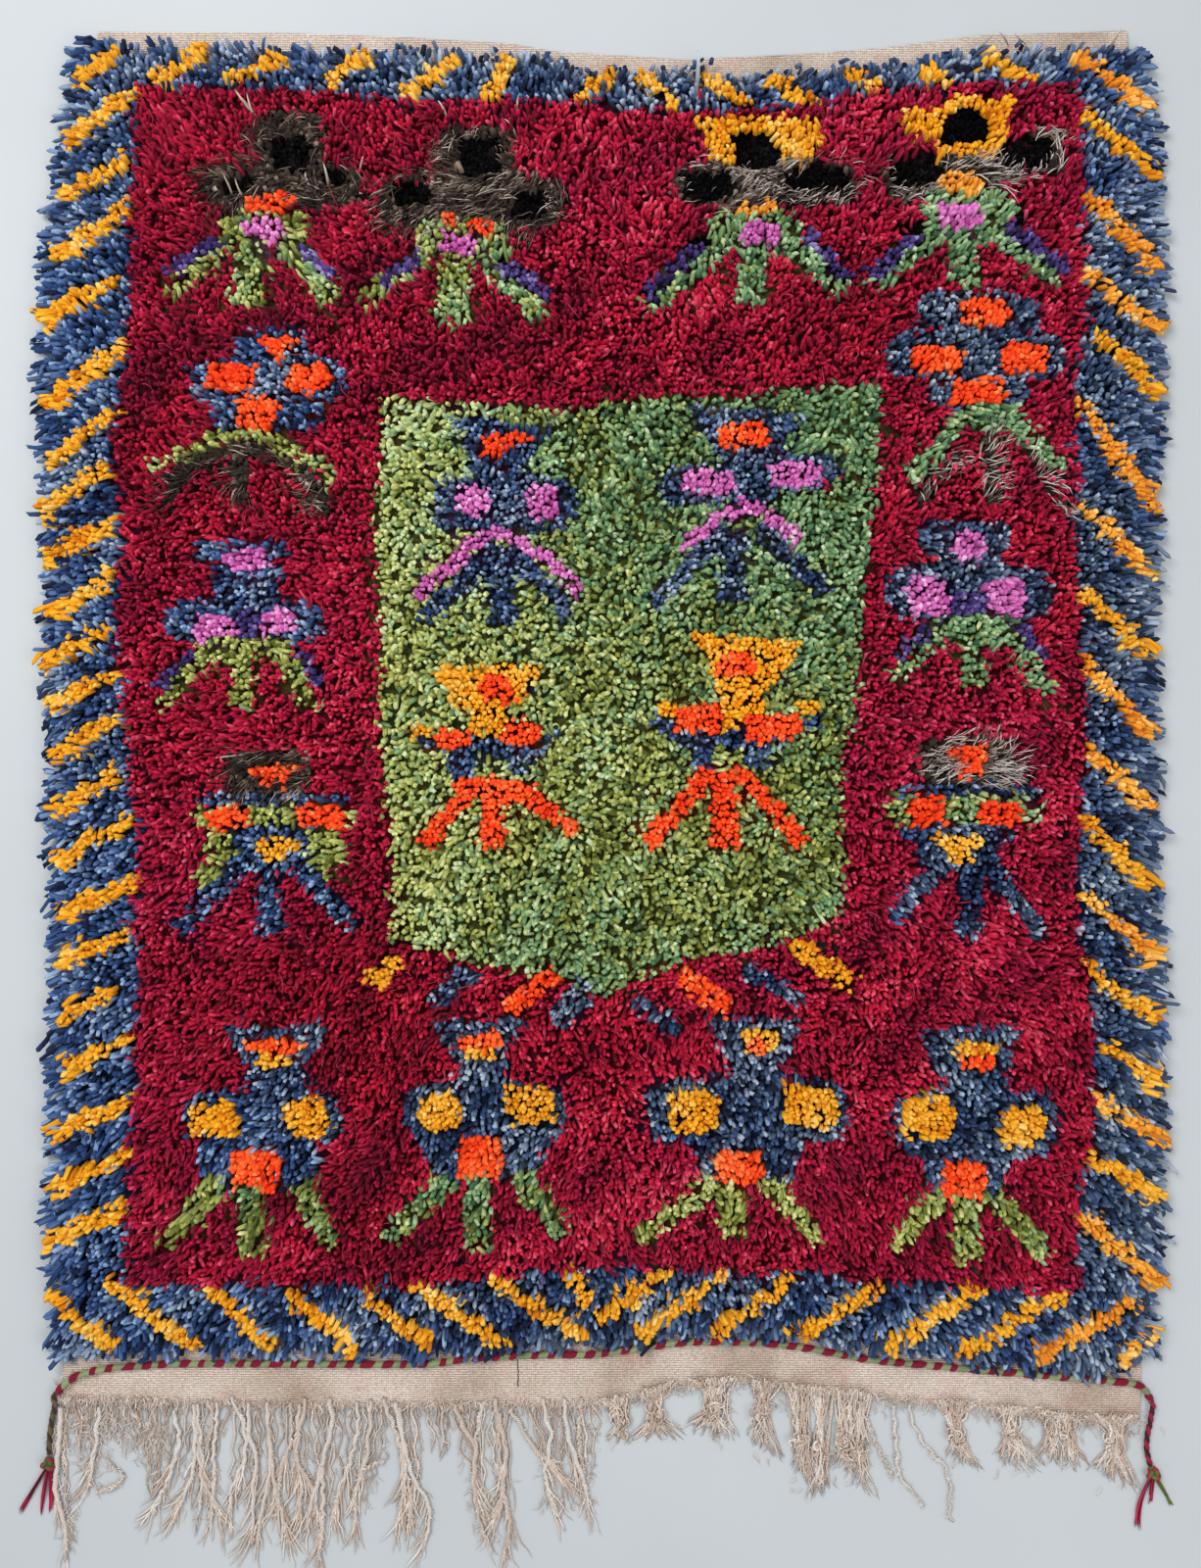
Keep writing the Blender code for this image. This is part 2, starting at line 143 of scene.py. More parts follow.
# Border strokes. Columns: yarn, then across and down at the field's side and at the rim
BORDER_STROKES = (
    ("gold", 118, 48, 71, 80), ("gold", 134, 94, 65, 140), ("gold", 131, 160, 57, 198),
    ("gold", 130, 212, 45, 265), ("gold", 129, 279, 35, 325), ("gold", 125, 352, 40, 412),
    ("gold", 115, 420, 45, 470), ("gold", 105, 480, 32, 525), ("gold", 108, 537, 35, 575),
    ("gold", 118, 580, 42, 630), ("gold", 108, 641, 38, 680), ("gold", 115, 690, 42, 725),
    ("gold", 110, 735, 50, 775), ("gold", 118, 790, 48, 828), ("gold", 130, 838, 50, 885),
    ("gold", 140, 900, 52, 935), ("gold", 130, 953, 54, 985), ("gold", 115, 1010, 53, 1045),
    ("gold", 137, 1057, 60, 1095), ("gold", 139, 1123, 45, 1161), ("gold", 128, 1179, 46, 1218),
    ("gold", 125, 1236, 39, 1273), ("gold", 40, 1322, 115, 1382), ("gold", 112, 1312, 195, 1380),
    ("gold", 202, 1312, 275, 1380), ("gold", 283, 1315, 358, 1380), ("gold", 360, 1313, 440, 1380),
    ("gold", 425, 1312, 515, 1378), ("gold", 500, 1305, 592, 1370), ("gold", 579, 1304, 600, 1325),
    ("gold", 680, 1300, 610, 1352), ("gold", 742, 1300, 655, 1368), ("gold", 812, 1303, 735, 1362),
    ("gold", 900, 1312, 815, 1370), ("gold", 1000, 1318, 905, 1382), ("gold", 1080, 1322, 985, 1388),
    ("amber", 1165, 1328, 1062, 1390), ("amber", 1188, 1366, 1148, 1395), ("amber", 1098, 50, 1180, 105),
    ("gold", 1110, 112, 1188, 180), ("amber", 1110, 198, 1186, 268), ("amber", 1112, 279, 1195, 340),
    ("gold", 1122, 340, 1192, 403), ("amber", 1100, 405, 1190, 518), ("amber", 1105, 517, 1183, 585),
    ("gold", 1098, 598, 1185, 672), ("amber", 1105, 675, 1182, 752), ("amber", 1108, 766, 1182, 825),
    ("gold", 1105, 838, 1182, 905), ("amber", 1100, 912, 1192, 980), ("gold", 1110, 992, 1193, 1043),
    ("gold", 1123, 1065, 1193, 1109), ("amber", 1122, 1125, 1197, 1168), ("gold", 1115, 1184, 1195, 1227),
    ("amber", 1102, 1241, 1195, 1318), ("gold", 155, 82, 208, 45), ("gold", 236, 80, 282, 50),
    ("gold", 330, 85, 370, 50), ("gold", 412, 95, 460, 52), ("gold", 498, 102, 520, 52),
    ("gold", 585, 102, 622, 68), ("gold", 690, 108, 655, 68), ("gold", 765, 107, 718, 70),
    ("gold", 845, 110, 790, 78), ("gold", 912, 105, 868, 68), ("gold", 985, 90, 940, 62),
    ("gold", 1065, 83, 1010, 50),
)
STROKE_WIDTHS = (12.0, 17.5)  # at the field's side and at the rim

# The village figures, top row to bottom row. A row is a yarn, then either a patch's left, right, top
# and bottom, or a bar's two ends and its width at each. Later rows lie over earlier ones.
FIGURES = (
    # Hairy figures with black eyes, the top row
    ("goat", 262, 332, 112, 178), ("goat", 206, 369, 162, 211), ("black", 275, 319, 136, 175),
    ("black", 225, 258, 171, 194), ("black", 327, 352, 167, 189), ("sage", 225, 311, 212, 251),
    ("vermilion", 250, 296, 198, 217), ("orchid", 248, 289, 223, 246),
    ("sage", 232, 244, 173, 300, 22, 18), ("sage", 257, 248, 251, 308, 28, 38),
    ("sage", 287, 244, 338, 306, 24, 20), ("violet", 216, 246, 171, 275, 14, 12),
    ("violet", 303, 248, 339, 282, 13, 12), ("goat", 448, 525, 126, 178), ("goat", 388, 576, 174, 234),
    ("black", 466, 515, 133, 179), ("black", 400, 441, 180, 208), ("black", 523, 560, 194, 222),
    ("sage", 423, 519, 223, 263), ("vermilion", 453, 467, 216, 228), ("vermilion", 479, 504, 222, 237),
    ("orchid", 448, 488, 240, 264), ("sage", 432, 256, 368, 304, 22, 18),
    ("sage", 464, 260, 461, 324, 28, 44), ("sage", 494, 258, 550, 321, 24, 20),
    ("violet", 424, 260, 387, 287, 14, 12), ("violet", 508, 266, 558, 300, 15, 12),
    ("black", 505, 521, 256, 268), ("goat", 690, 875, 162, 208), ("gold", 713, 788, 119, 134),
    ("gold", 722, 748, 124, 164), ("gold", 786, 836, 118, 161), ("black", 746, 797, 133, 171),
    ("black", 696, 756, 174, 204), ("black", 799, 869, 168, 195), ("sage", 726, 819, 212, 256),
    ("amber", 752, 793, 205, 219), ("orchid", 756, 797, 227, 252), ("sage", 738, 246, 664, 312, 24, 16),
    ("sage", 769, 250, 766, 307, 28, 36), ("sage", 806, 248, 860, 295, 22, 18),
    ("violet", 722, 244, 662, 298, 12, 15), ("violet", 826, 240, 864, 284, 15, 12),
    ("black", 706, 725, 237, 251), ("goat", 908, 188, 1084, 150, 38, 46),
    ("gold", 924, 119, 966, 126, 12, 40), ("gold", 955, 1029, 100, 159),
    ("gold", 1010, 111, 1034, 104, 16, 11), ("black", 964, 1016, 113, 146),
    ("black", 909, 966, 154, 190), ("black", 1024, 1078, 136, 171), ("sage", 944, 1042, 190, 250),
    ("amber", 961, 1008, 175, 194), ("orchid", 961, 1006, 203, 230),
    ("sage", 956, 238, 898, 291, 22, 17), ("sage", 985, 246, 985, 286, 28, 31),
    ("sage", 1026, 238, 1080, 285, 22, 17), ("violet", 938, 238, 891, 280, 14, 12),
    ("violet", 1034, 232, 1092, 272, 14, 12), ("black", 915, 946, 225, 237),
    ("black", 1028, 1058, 215, 227),
    # The two blue diamonds under them
    ("indigo", 236, 314, 335, 369), ("indigo", 190, 354, 362, 413), ("indigo", 212, 328, 400, 441),
    ("vermilion", 261, 303, 343, 354), ("vermilion", 270, 294, 350, 366),
    ("vermilion", 209, 259, 371, 400), ("vermilion", 293, 337, 372, 403),
    ("vermilion", 240, 285, 406, 437), ("goat", 168, 492, 212, 464, 12, 12),
    ("goat", 212, 464, 262, 456, 14, 15), ("goat", 262, 456, 312, 482, 15, 13),
    ("goat", 312, 482, 334, 508, 13, 12), ("sage", 149, 476, 184, 464, 13, 14),
    ("sage", 184, 464, 219, 447, 14, 14), ("sage", 219, 447, 261, 441, 13, 13),
    ("sage", 261, 441, 296, 458, 13, 14), ("sage", 296, 458, 331, 476, 14, 14),
    ("sage", 331, 476, 337, 494, 14, 14), ("goat", 192, 480, 168, 514, 15, 12),
    ("goat", 244, 460, 244, 508, 19, 18), ("goat", 310, 486, 330, 524, 14, 13),
    ("indigo", 936, 1063, 296, 336), ("indigo", 906, 1087, 335, 388), ("indigo", 948, 1051, 382, 416),
    ("vermilion", 981, 1032, 304, 330), ("vermilion", 932, 983, 352, 379),
    ("vermilion", 1024, 1072, 350, 379), ("vermilion", 973, 1029, 387, 413),
    ("sage", 981, 1045, 412, 440), ("sage", 986, 428, 929, 486, 20, 18),
    ("sage", 1040, 428, 1084, 480, 20, 18), ("goat", 1014, 440, 1014, 508, 17, 17),
    ("goat", 976, 464, 940, 512, 11, 10), ("goat", 1052, 468, 1088, 518, 11, 10),
    # The two blue lamps beside the panel
    ("indigo", 195, 291, 551, 572), ("indigo", 213, 285, 570, 612), ("indigo", 166, 329, 610, 656),
    ("orchid", 227, 273, 560, 583), ("orchid", 198, 238, 625, 656), ("orchid", 265, 300, 619, 647),
    ("violet", 238, 265, 622, 650), ("sage", 201, 300, 652, 677), ("sage", 208, 666, 163, 721, 20, 16),
    ("sage", 249, 672, 246, 724, 22, 27), ("sage", 288, 666, 316, 725, 20, 18),
    ("violet", 196, 668, 160, 700, 11, 10), ("violet", 303, 668, 331, 704, 11, 10),
    ("indigo", 939, 1035, 530, 566), ("indigo", 960, 1029, 562, 590), ("indigo", 905, 1075, 577, 633),
    ("orchid", 972, 1008, 543, 570), ("orchid", 929, 968, 592, 630), ("orchid", 1006, 1048, 592, 630),
    ("violet", 970, 1004, 603, 627), ("sage", 963, 1032, 626, 657), ("sage", 962, 640, 916, 693, 20, 16),
    ("sage", 992, 650, 995, 701, 22, 27), ("sage", 1030, 640, 1072, 708, 20, 18),
    ("violet", 948, 640, 914, 672, 11, 10), ("violet", 1042, 638, 1072, 674, 12, 10),
    # The two figures with green bands and blue legs
    ("goat", 227, 317, 766, 809), ("vermilion", 254, 300, 779, 792), ("vermilion", 264, 290, 788, 801),
    ("indigo", 206, 355, 809, 824), ("sage", 196, 360, 822, 848), ("vermilion", 210, 254, 824, 848),
    ("vermilion", 300, 348, 820, 848), ("indigo", 226, 334, 844, 891), ("sage", 208, 239, 847, 882),
    ("sage", 311, 348, 847, 886), ("gold", 259, 302, 857, 868), ("gold", 271, 291, 866, 880),
    ("sage", 196, 232, 885, 907), ("sage", 316, 343, 885, 903), ("indigo", 244, 884, 179, 951, 24, 18),
    ("indigo", 273, 888, 273, 954, 20, 25), ("indigo", 302, 884, 362, 946, 22, 18),
    ("goat", 941, 1043, 755, 802), ("vermilion", 966, 1015, 761, 776),
    ("vermilion", 978, 1003, 772, 795), ("indigo", 920, 1064, 799, 817), ("sage", 906, 1066, 812, 844),
    ("vermilion", 929, 968, 812, 841), ("vermilion", 1001, 1045, 818, 842),
    ("indigo", 922, 1034, 840, 860), ("indigo", 941, 1022, 854, 893), ("gold", 955, 1006, 853, 867),
    ("gold", 970, 993, 864, 881), ("indigo", 958, 886, 916, 941, 22, 16),
    ("indigo", 991, 890, 992, 954, 20, 28), ("indigo", 1012, 888, 1068, 956, 22, 18),
    # The loose strokes under the panel
    ("gold", 406, 981, 380, 1004, 19, 22), ("indigo", 480, 991, 441, 1024, 20, 18),
    ("vermilion", 563, 994, 520, 1029, 20, 19), ("indigo", 600, 1008, 567, 1043, 24, 26),
    ("indigo", 647, 1022, 692, 1054, 20, 20), ("vermilion", 697, 998, 744, 1028, 20, 22),
    ("indigo", 762, 990, 820, 1023, 20, 16), ("gold", 811, 964, 867, 1000, 18, 20),
    # The bottom row of four
    ("indigo", 281, 1050, 281, 1084, 108, 70), ("indigo", 250, 312, 1080, 1124),
    ("indigo", 184, 348, 1114, 1167), ("indigo", 202, 325, 1156, 1216),
    ("vermilion", 250, 309, 1063, 1076), ("gold", 264, 296, 1075, 1089), ("gold", 194, 242, 1125, 1162),
    ("gold", 291, 333, 1122, 1159), ("vermilion", 234, 284, 1175, 1218),
    ("sage", 224, 1212, 164, 1273, 26, 18), ("sage", 256, 1215, 256, 1283, 26, 31),
    ("sage", 306, 1212, 336, 1274, 26, 20), ("indigo", 487, 1044, 489, 1082, 106, 52),
    ("indigo", 466, 516, 1076, 1112), ("indigo", 412, 577, 1104, 1164),
    ("indigo", 494, 1150, 494, 1204, 156, 100), ("vermilion", 463, 513, 1056, 1073),
    ("gold", 474, 507, 1071, 1082), ("gold", 430, 470, 1117, 1156), ("gold", 518, 566, 1109, 1148),
    ("vermilion", 467, 512, 1162, 1205), ("sage", 458, 1204, 393, 1270, 26, 20),
    ("sage", 488, 1206, 487, 1276, 26, 30), ("sage", 530, 1202, 575, 1262, 26, 20),
    ("indigo", 772, 1043, 772, 1089, 100, 62), ("indigo", 744, 798, 1084, 1108),
    ("indigo", 660, 868, 1101, 1170), ("indigo", 765, 1162, 765, 1206, 120, 84),
    ("gold", 755, 795, 1052, 1075), ("vermilion", 764, 786, 1062, 1077), ("gold", 684, 736, 1115, 1157),
    ("gold", 798, 853, 1111, 1153), ("vermilion", 731, 777, 1175, 1211),
    ("sage", 730, 1208, 653, 1266, 24, 18), ("sage", 747, 1208, 747, 1262, 28, 31),
    ("sage", 782, 1208, 836, 1267, 22, 19), ("indigo", 993, 1053, 994, 1102, 108, 66),
    ("indigo", 964, 1026, 1097, 1122), ("indigo", 913, 1084, 1114, 1184),
    ("indigo", 986, 1178, 986, 1220, 96, 72), ("gold", 978, 1019, 1066, 1082),
    ("vermilion", 981, 1016, 1080, 1092), ("gold", 924, 976, 1122, 1162),
    ("gold", 1022, 1068, 1131, 1170), ("vermilion", 964, 1007, 1187, 1228),
    ("sage", 960, 1222, 912, 1280, 24, 18), ("sage", 988, 1226, 989, 1288, 27, 30),
    ("sage", 1018, 1222, 1069, 1285, 24, 19),
    # Four figures on the panel
    ("indigo", 512, 430, 508, 476, 112, 48), ("vermilion", 490, 514, 443, 467),
    ("vermilion", 505, 543, 441, 453), ("indigo", 478, 538, 468, 492), ("indigo", 440, 588, 483, 543),
    ("orchid", 463, 500, 496, 526), ("orchid", 536, 570, 496, 529),
    ("orchid", 425, 604, 459, 580, 14, 14), ("orchid", 459, 580, 483, 556, 14, 14),
    ("orchid", 483, 556, 511, 545, 14, 14), ("orchid", 511, 545, 563, 573, 14, 14),
    ("orchid", 563, 573, 590, 604, 14, 14), ("indigo", 508, 562, 432, 630, 22, 20),
    ("indigo", 512, 560, 512, 637, 26, 27), ("indigo", 516, 560, 582, 630, 22, 20),
    ("indigo", 763, 418, 760, 462, 118, 64), ("indigo", 734, 798, 455, 512),
    ("indigo", 676, 744, 474, 515), ("indigo", 740, 792, 468, 514), ("indigo", 788, 860, 460, 498),
    ("vermilion", 735, 787, 432, 456), ("orchid", 694, 748, 480, 503), ("orchid", 787, 837, 470, 495),
    ("crimson", 843, 854, 488, 500), ("orchid", 697, 556, 724, 538, 13, 13),
    ("orchid", 724, 538, 755, 518, 13, 14), ("orchid", 755, 518, 778, 520, 16, 14),
    ("orchid", 778, 520, 814, 547, 14, 13), ("indigo", 745, 538, 667, 618, 20, 18),
    ("indigo", 750, 540, 748, 613, 26, 28), ("indigo", 774, 538, 844, 606, 22, 18),
    ("gold", 498, 682, 499, 718, 116, 70), ("vermilion", 486, 522, 690, 722),
    ("gold", 498, 714, 498, 750, 30, 42), ("gold", 419, 440, 744, 760),
    ("indigo", 426, 757, 546, 768, 14, 20), ("indigo", 545, 766, 568, 742, 14, 8),
    ("vermilion", 442, 481, 744, 765), ("vermilion", 513, 553, 738, 762), ("indigo", 455, 484, 768, 797),
    ("indigo", 517, 539, 768, 790), ("vermilion", 465, 543, 795, 814),
    ("vermilion", 480, 808, 432, 861, 17, 18), ("vermilion", 503, 806, 504, 865, 24, 26),
    ("vermilion", 534, 805, 583, 850, 17, 17), ("gold", 763, 652, 758, 698, 118, 56),
    ("vermilion", 732, 770, 666, 694), ("gold", 757, 692, 757, 741, 44, 50),
    ("gold", 672, 691, 716, 732), ("gold", 816, 837, 714, 728), ("indigo", 669, 734, 700, 756, 14, 20),
    ("indigo", 700, 754, 800, 754, 20, 18), ("indigo", 800, 754, 836, 734, 16, 10),
    ("vermilion", 689, 739, 721, 749), ("vermilion", 761, 818, 729, 757), ("indigo", 706, 732, 758, 788),
    ("indigo", 762, 787, 758, 787), ("vermilion", 713, 767, 786, 803),
    ("vermilion", 718, 796, 661, 861, 18, 18), ("vermilion", 740, 798, 740, 864, 27, 28),
    ("vermilion", 764, 796, 819, 861, 18, 19),
)

# Locks that stand out. Columns: yarn, across and down at the root and at the tip, radius
STRAY_LOCKS = (
    ("indigo_pale", 711, 94, 712, 52, 2.6), ("crimson", 713, 112, 712, 92, 2.6),
    ("wisp", 270, 124, 240, 92, 2.0), ("wisp", 262, 122, 252, 94, 1.4),
    ("wisp", 459, 124, 447, 104, 1.3), ("wisp", 532, 128, 530, 96, 1.5),
    ("wisp", 528, 142, 514, 122, 1.1), ("wisp", 322, 196, 312, 176, 1.6),
    ("wisp", 334, 190, 330, 166, 1.6), ("sage", 518, 266, 515, 238, 2.2),
    ("wisp", 238, 204, 228, 178, 1.2), ("wisp", 250, 206, 240, 182, 1.1),
    ("wisp", 1002, 44, 1014, 33, 0.9), ("wisp", 1032, 42, 1016, 32, 0.9),
    ("wisp", 1136, 46, 1144, 30, 1.3), ("wisp", 1050, 40, 1034, 34, 0.8),
    ("wisp", 864, 297, 867, 286, 1.6), ("wisp", 1106, 262, 1112, 250, 0.9),
    ("wisp", 366, 178, 374, 154, 1.1), ("wisp", 1008, 446, 1000, 470, 1.4),
    ("wisp", 262, 768, 214, 774, 1.2),
)

# Wool. For each yarn its two dye lots, each from dark to light, as 0 to 255 on the screen
DYES = {
    "crimson": (
        ((92, 4, 28), (144, 12, 48), (186, 26, 70), (220, 72, 112)),
        ((106, 2, 26), (158, 12, 42), (200, 28, 62), (230, 78, 100)),
    ),
    "indigo": (
        ((12, 22, 52), (38, 66, 114), (80, 108, 158), (142, 168, 202)),
        ((22, 30, 48), (62, 78, 106), (108, 124, 146), (170, 182, 198)),
    ),
    "indigo_pale": (
        ((120, 140, 168), (150, 168, 190), (176, 190, 206), (200, 210, 220)),
        ((120, 140, 168), (150, 168, 190), (176, 190, 206), (200, 210, 220)),
    ),
    "gold": (
        ((204, 112, 4), (232, 152, 16), (244, 176, 38), (252, 204, 98)),
        ((190, 108, 10), (224, 152, 30), (242, 180, 60), (250, 208, 120)),
    ),
    "amber": (
        ((200, 104, 16), (230, 138, 34), (244, 162, 60), (252, 196, 114)),
        ((204, 122, 18), (234, 158, 42), (246, 180, 70), (252, 208, 126)),
    ),
    "vermilion": (
        ((206, 40, 8), (244, 62, 18), (255, 82, 32), (255, 128, 76)),
        ((214, 52, 10), (250, 82, 24), (255, 104, 42), (255, 148, 86)),
    ),
    "sage": (
        ((84, 90, 30), (144, 150, 70), (184, 188, 106), (212, 214, 144)),
        ((50, 82, 58), (98, 138, 94), (142, 174, 126), (190, 212, 168)),
    ),
    "orchid": (
        ((150, 48, 116), (198, 92, 168), (222, 126, 194), (242, 178, 224)),
        ((146, 52, 116), (194, 94, 164), (220, 130, 192), (242, 184, 224)),
    ),
    "violet": (
        ((26, 16, 52), (56, 38, 98), (98, 76, 146), (172, 156, 206)),
        ((22, 14, 46), (46, 34, 84), (84, 66, 128), (156, 140, 190)),
    ),
    "black": (
        ((2, 2, 3), (5, 4, 6), (9, 8, 10), (20, 18, 19)),
        ((3, 3, 4), (6, 5, 7), (11, 10, 12), (26, 23, 23)),
    ),
    "goat": (
        ((22, 15, 12), (60, 46, 38), (140, 114, 96), (222, 200, 180)),
        ((26, 19, 16), (70, 57, 50), (156, 140, 130), (236, 224, 214)),
    ),
    "wisp": (
        ((176, 150, 128), (202, 180, 160), (220, 202, 186), (234, 222, 210)),
        ((160, 140, 120), (190, 170, 150), (208, 192, 176), (226, 214, 202)),
    ),
}
YARNS = tuple(DYES)
# In the tables by yarn below, "other" stands for the yarns that aren't named.
# Painted shade: how light a tuft is painted at its root, beside its tip, for the shade low in the pile
PAINTED_ROOT_SHADE = {
    "gold": 0.78, "amber": 0.78, "vermilion": 0.62, "orchid": 0.66, "sage": 0.68, "crimson": 0.42,
    "other": 0.38,
}

# Tufts: finer yarn for the grounds and plumper yarn for the figures
# Columns: yarns, pitch of the tips, radius, sides of an upright and of a leaning tuft
YARN_COUNTS = (
    (("crimson",), 5.18, 2.45, 4, 3),
    (("indigo",), 5.3, 2.7, 4, 4),
    (("sage",), 5.55, 2.9, 4, 4),
    (("gold", "amber", "vermilion", "orchid", "violet", "black", "goat"), 4.65, 3.2, 4, 4),
)
RADIUS_RANGE = (0.82, 1.18)  # as shares of a yarn's radius
TIP_SPANS = ((15, 1215), (25, 1420))  # across and down
TIP_STRAY = 0.28  # as a share of the pitch
RAGGED = 3.6  # how far the pile's outline wanders
END_OVERLAP = 8.0  # how far the tips reach past the pile's top and bottom lines
CORNERS_OFF = 545.0  # that overlap ends this far from the middle, towards the corners
CORNER_WIDTH = 40.0  # and fades over this width
CORNER_DIP = -0.5  # down to this share of itself
ROOT_INSET = 5.0  # from the weave's edges to the outermost roots
TUFT_FOOT = 3.3  # the height of the roots
MOST_HEIGHT = 30.0  # the pile's top
KNOT_SIZE = 10.0  # a tuft takes its colour from a place part of the way to its knot's middle
KNOT_SHARES = (0.45, 0.85)  # on the field and on the border

# The nap. Tufts lean outward from NAP_MIDDLE, and lie over the rug's rim.
NAP_MIDDLE = (640.0, 560.0)
FIELD_LEAN = 6.5  # at LEAN_SPANS from that middle
LEAN_SPANS = (500.0, 600.0)
RIM_WIDTH = 62.0  # the nap turns outward over this width along the two sides
RIM_TURN = 1.9  # the power that it turns by
END_WIDTH = 55.0  # and over this width along the two ends
END_REACH = 7.0  # by this much there
SIDE_DROOP = 10.0  # how far the tufts at the two sides also lean down the chart
RIM_SAG = 0.5  # share of its height that a tuft at the rim loses
SAG_RANGE = (0.3, 1.6)  # as shares of that
FLOW_LEAN = 4.6  # in broad waves
SWIRL_LEAN = 4.8  # and in small ones
# How far the tufts lean at random
LEAN_SPREADS = {"crimson": 6.3, "sage": 6.6, "other": 4.0}
LEAN_UNEVENNESS = 0.12  # of the whole lean
RIM_UNEVENNESS = -0.06  # what the rim adds to it
CLUMP_SIZE = 11.0  # tips are drawn together at places about this far apart
CLUMP_PULLS = {"crimson": 0.26, "indigo": 0.26, "sage": 0.24, "other": 0.08}
LEANING = 17.0  # a tuft that leans further than this has one more ring
# How much of its lean a tuft has taken at its bend, and how far up the bend is, inside the rim and at it
BEND_LEANS = {"crimson": 0.32, "sage": 0.24, "other": 0.5}
BEND_RISES = (0.72, 0.95)
SIDEWAYS = 0.25  # how far a tuft's bend strays sideways, as a share of its lean

TUFT_LENGTH = 24.0
YARN_LENGTHS = {
    "black": 0.6, "goat": 0.8, "indigo": 0.97, "gold": 1.04, "vermilion": 1.04, "orchid": 1.03,
    "other": 1.0,
}
LUMP_LENGTHS = 0.07  # how much longer the tufts are on a lump
FINE_LENGTHS = 0.05  # and on a small rise
LENGTH_SPREAD = 0.07  # and at random
MOST_LEAN = 0.65  # of a tuft's length, when its height is worked out
LUMPINESS = 0.1  # of a strand's radius
HOOK = 1.1  # how far a tuft's tip strays from its curve
MOST_TUFTS_A_PIECE = 9000
CELL_EDGE = 0.06  # left free round each strand's cell of the bake
YARN_REPEAT = 0.1  # metres that one turn of a strand's own coordinates stands for
# For each smooth unevenness of the pile its shortest and longest wave
FLOWS = {
    "flow_across": (90, 260), "flow_down": (90, 260), "swirl_across": (16, 45), "swirl_down": (16, 45),
    "lump": (120, 320), "fine": (30, 70), "rim_across": (14, 60), "rim_down": (14, 60),
    "patches": (40, 150), "bands": (200, 700),
}
# Rings of a strand. Columns: share of the length, share of the radius
UPRIGHT_RINGS = ((0.4, 0.92), (0.88, 0.88), (1.0, 0.0))
LEANING_RINGS = ((0.2, 0.75), (0.6, 1.0), (0.93, 0.92), (1.0, 0.0))
HAIR_RINGS = ((0.0, 0.7), (0.35, 1.0), (0.7, 0.8), (1.0, 0.0))
WISP_RINGS = ((0.0, 0.8), (0.35, 1.0), (0.7, 0.8), (1.0, 0.0))
LOCK_WIDTHS = (0.8, 0.9, 1, 1, 0.95, 0.85, 0.7, 0.45, 0)

# Shades, from 0 to 1 among a yarn's own, and dye lots, from the first at 0 to the second at 1
SHADE_SHIFT = {"goat": -0.3, "other": 0.0}
SHADE_SPREAD = {"crimson": 0.21, "indigo": 0.33, "sage": 0.25, "other": 0.2}
PATCH_SHADE = 0.12  # how much lighter the light patches are
SAGE_FADE = 0.18  # how much lighter the panel is FADE_WIDTH to the left of its middle
FADE_WIDTH = 250.0
LOT_MIDDLE = 0.45
LOT_WAVES = 0.3  # by patches, and by bands
BAND_SLOWNESS = 0.3  # bands of a dye lot change this much more slowly across than down
LOT_SPREAD = {"sage": 0.36, "indigo": 0.24, "other": 0.16}
LOT_DRIFT = {"sage": 0.9, "indigo": 0.3, "other": 0.0}  # over DRIFT_WIDTH to the right
DRIFT_WIDTH = 500.0
LOT_RISE = {"sage": 0.225, "other": 0.0}  # over RISE_LENGTH upward from RISE_MIDDLE
RISE_LENGTH = 300.0
RISE_MIDDLE = 640.0
# Places where the wool differs. Columns: across, down, reach, lighter by, nearer its second lot by
SHADED_PLACES = {
    "crimson": (
        (350, 1010, 150, -0.2, 0), (380, 1250, 90, -0.18, 0), (690, 1190, 80, 0.16, 0),
        (1000, 960, 130, 0.04, 0), (880, 1130, 60, 0.06, 0), (350, 690, 90, 0.08, 0),
        (520, 350, 110, -0.14, 0), (900, 330, 90, -0.16, 0), (160, 1080, 60, 0.1, 0),
        (1000, 740, 120, 0.06, 0), (600, 190, 90, 0.06, 0), (200, 900, 70, 0.1, 0),
        (950, 1280, 120, -0.12, 0), (240, 260, 180, -0.16, 0), (440, 200, 120, -0.1, 0),
        (170, 435, 110, -0.2, 0), (250, 1190, 150, -0.12, 0),
    ),
    "sage": (
        (420, 480, 90, 0.1, 0), (640, 480, 130, -0.14, 0.1), (990, 1255, 90, -0.14, 0.2),
        (250, 1240, 120, -0.16, 1.4), (490, 1240, 120, -0.16, 1.1), (870, 1245, 230, 0.1, -0.8),
        (990, 830, 90, 0, -0.2), (240, 270, 120, 0, 0.3), (560, 960, 110, -0.08, 0.5),
        (450, 870, 70, 0, 0.2), (870, 560, 110, 0.14, 0),
    ),
    "indigo": ((1150, 850, 380, -0.12, 0), (620, 1355, 300, -0.1, 0)),
}

# Goat hair. A pair is a range from least to most.
HAIRS = 3300
HAIR_SCATTER = 4.0
HAIR_FEET = (11, 18)
HAIR_TIPS = (20, MOST_HEIGHT)
HAIR_BENDS = (22, MOST_HEIGHT + 2)
HAIR_REACH = (9, 27)
HAIR_BEND = 0.3  # how far along its lean a hair bends
HAIR_RADII = (0.4, 0.8)
HAIR_HEADINGS = (2.6, -0.4)  # on the left and right half, turning from rightward to downward
HAIR_SPREAD = 0.35  # of their headings, in radians
HAIR_SWIRL = 0.9  # how far they turn together
HAIR_SWIRLS = (50, 120)  # over waves of these lengths
HAIR_DROOP = 0.2
HAIR_CURL = 0.09  # as a share of the reach
HAIR_TURNS = (0.4, 1.1)
ANY_PHASE = 6.3  # about a whole turn
OVER_BLACK = 0.3  # how much of its reach a hair keeps over a black patch
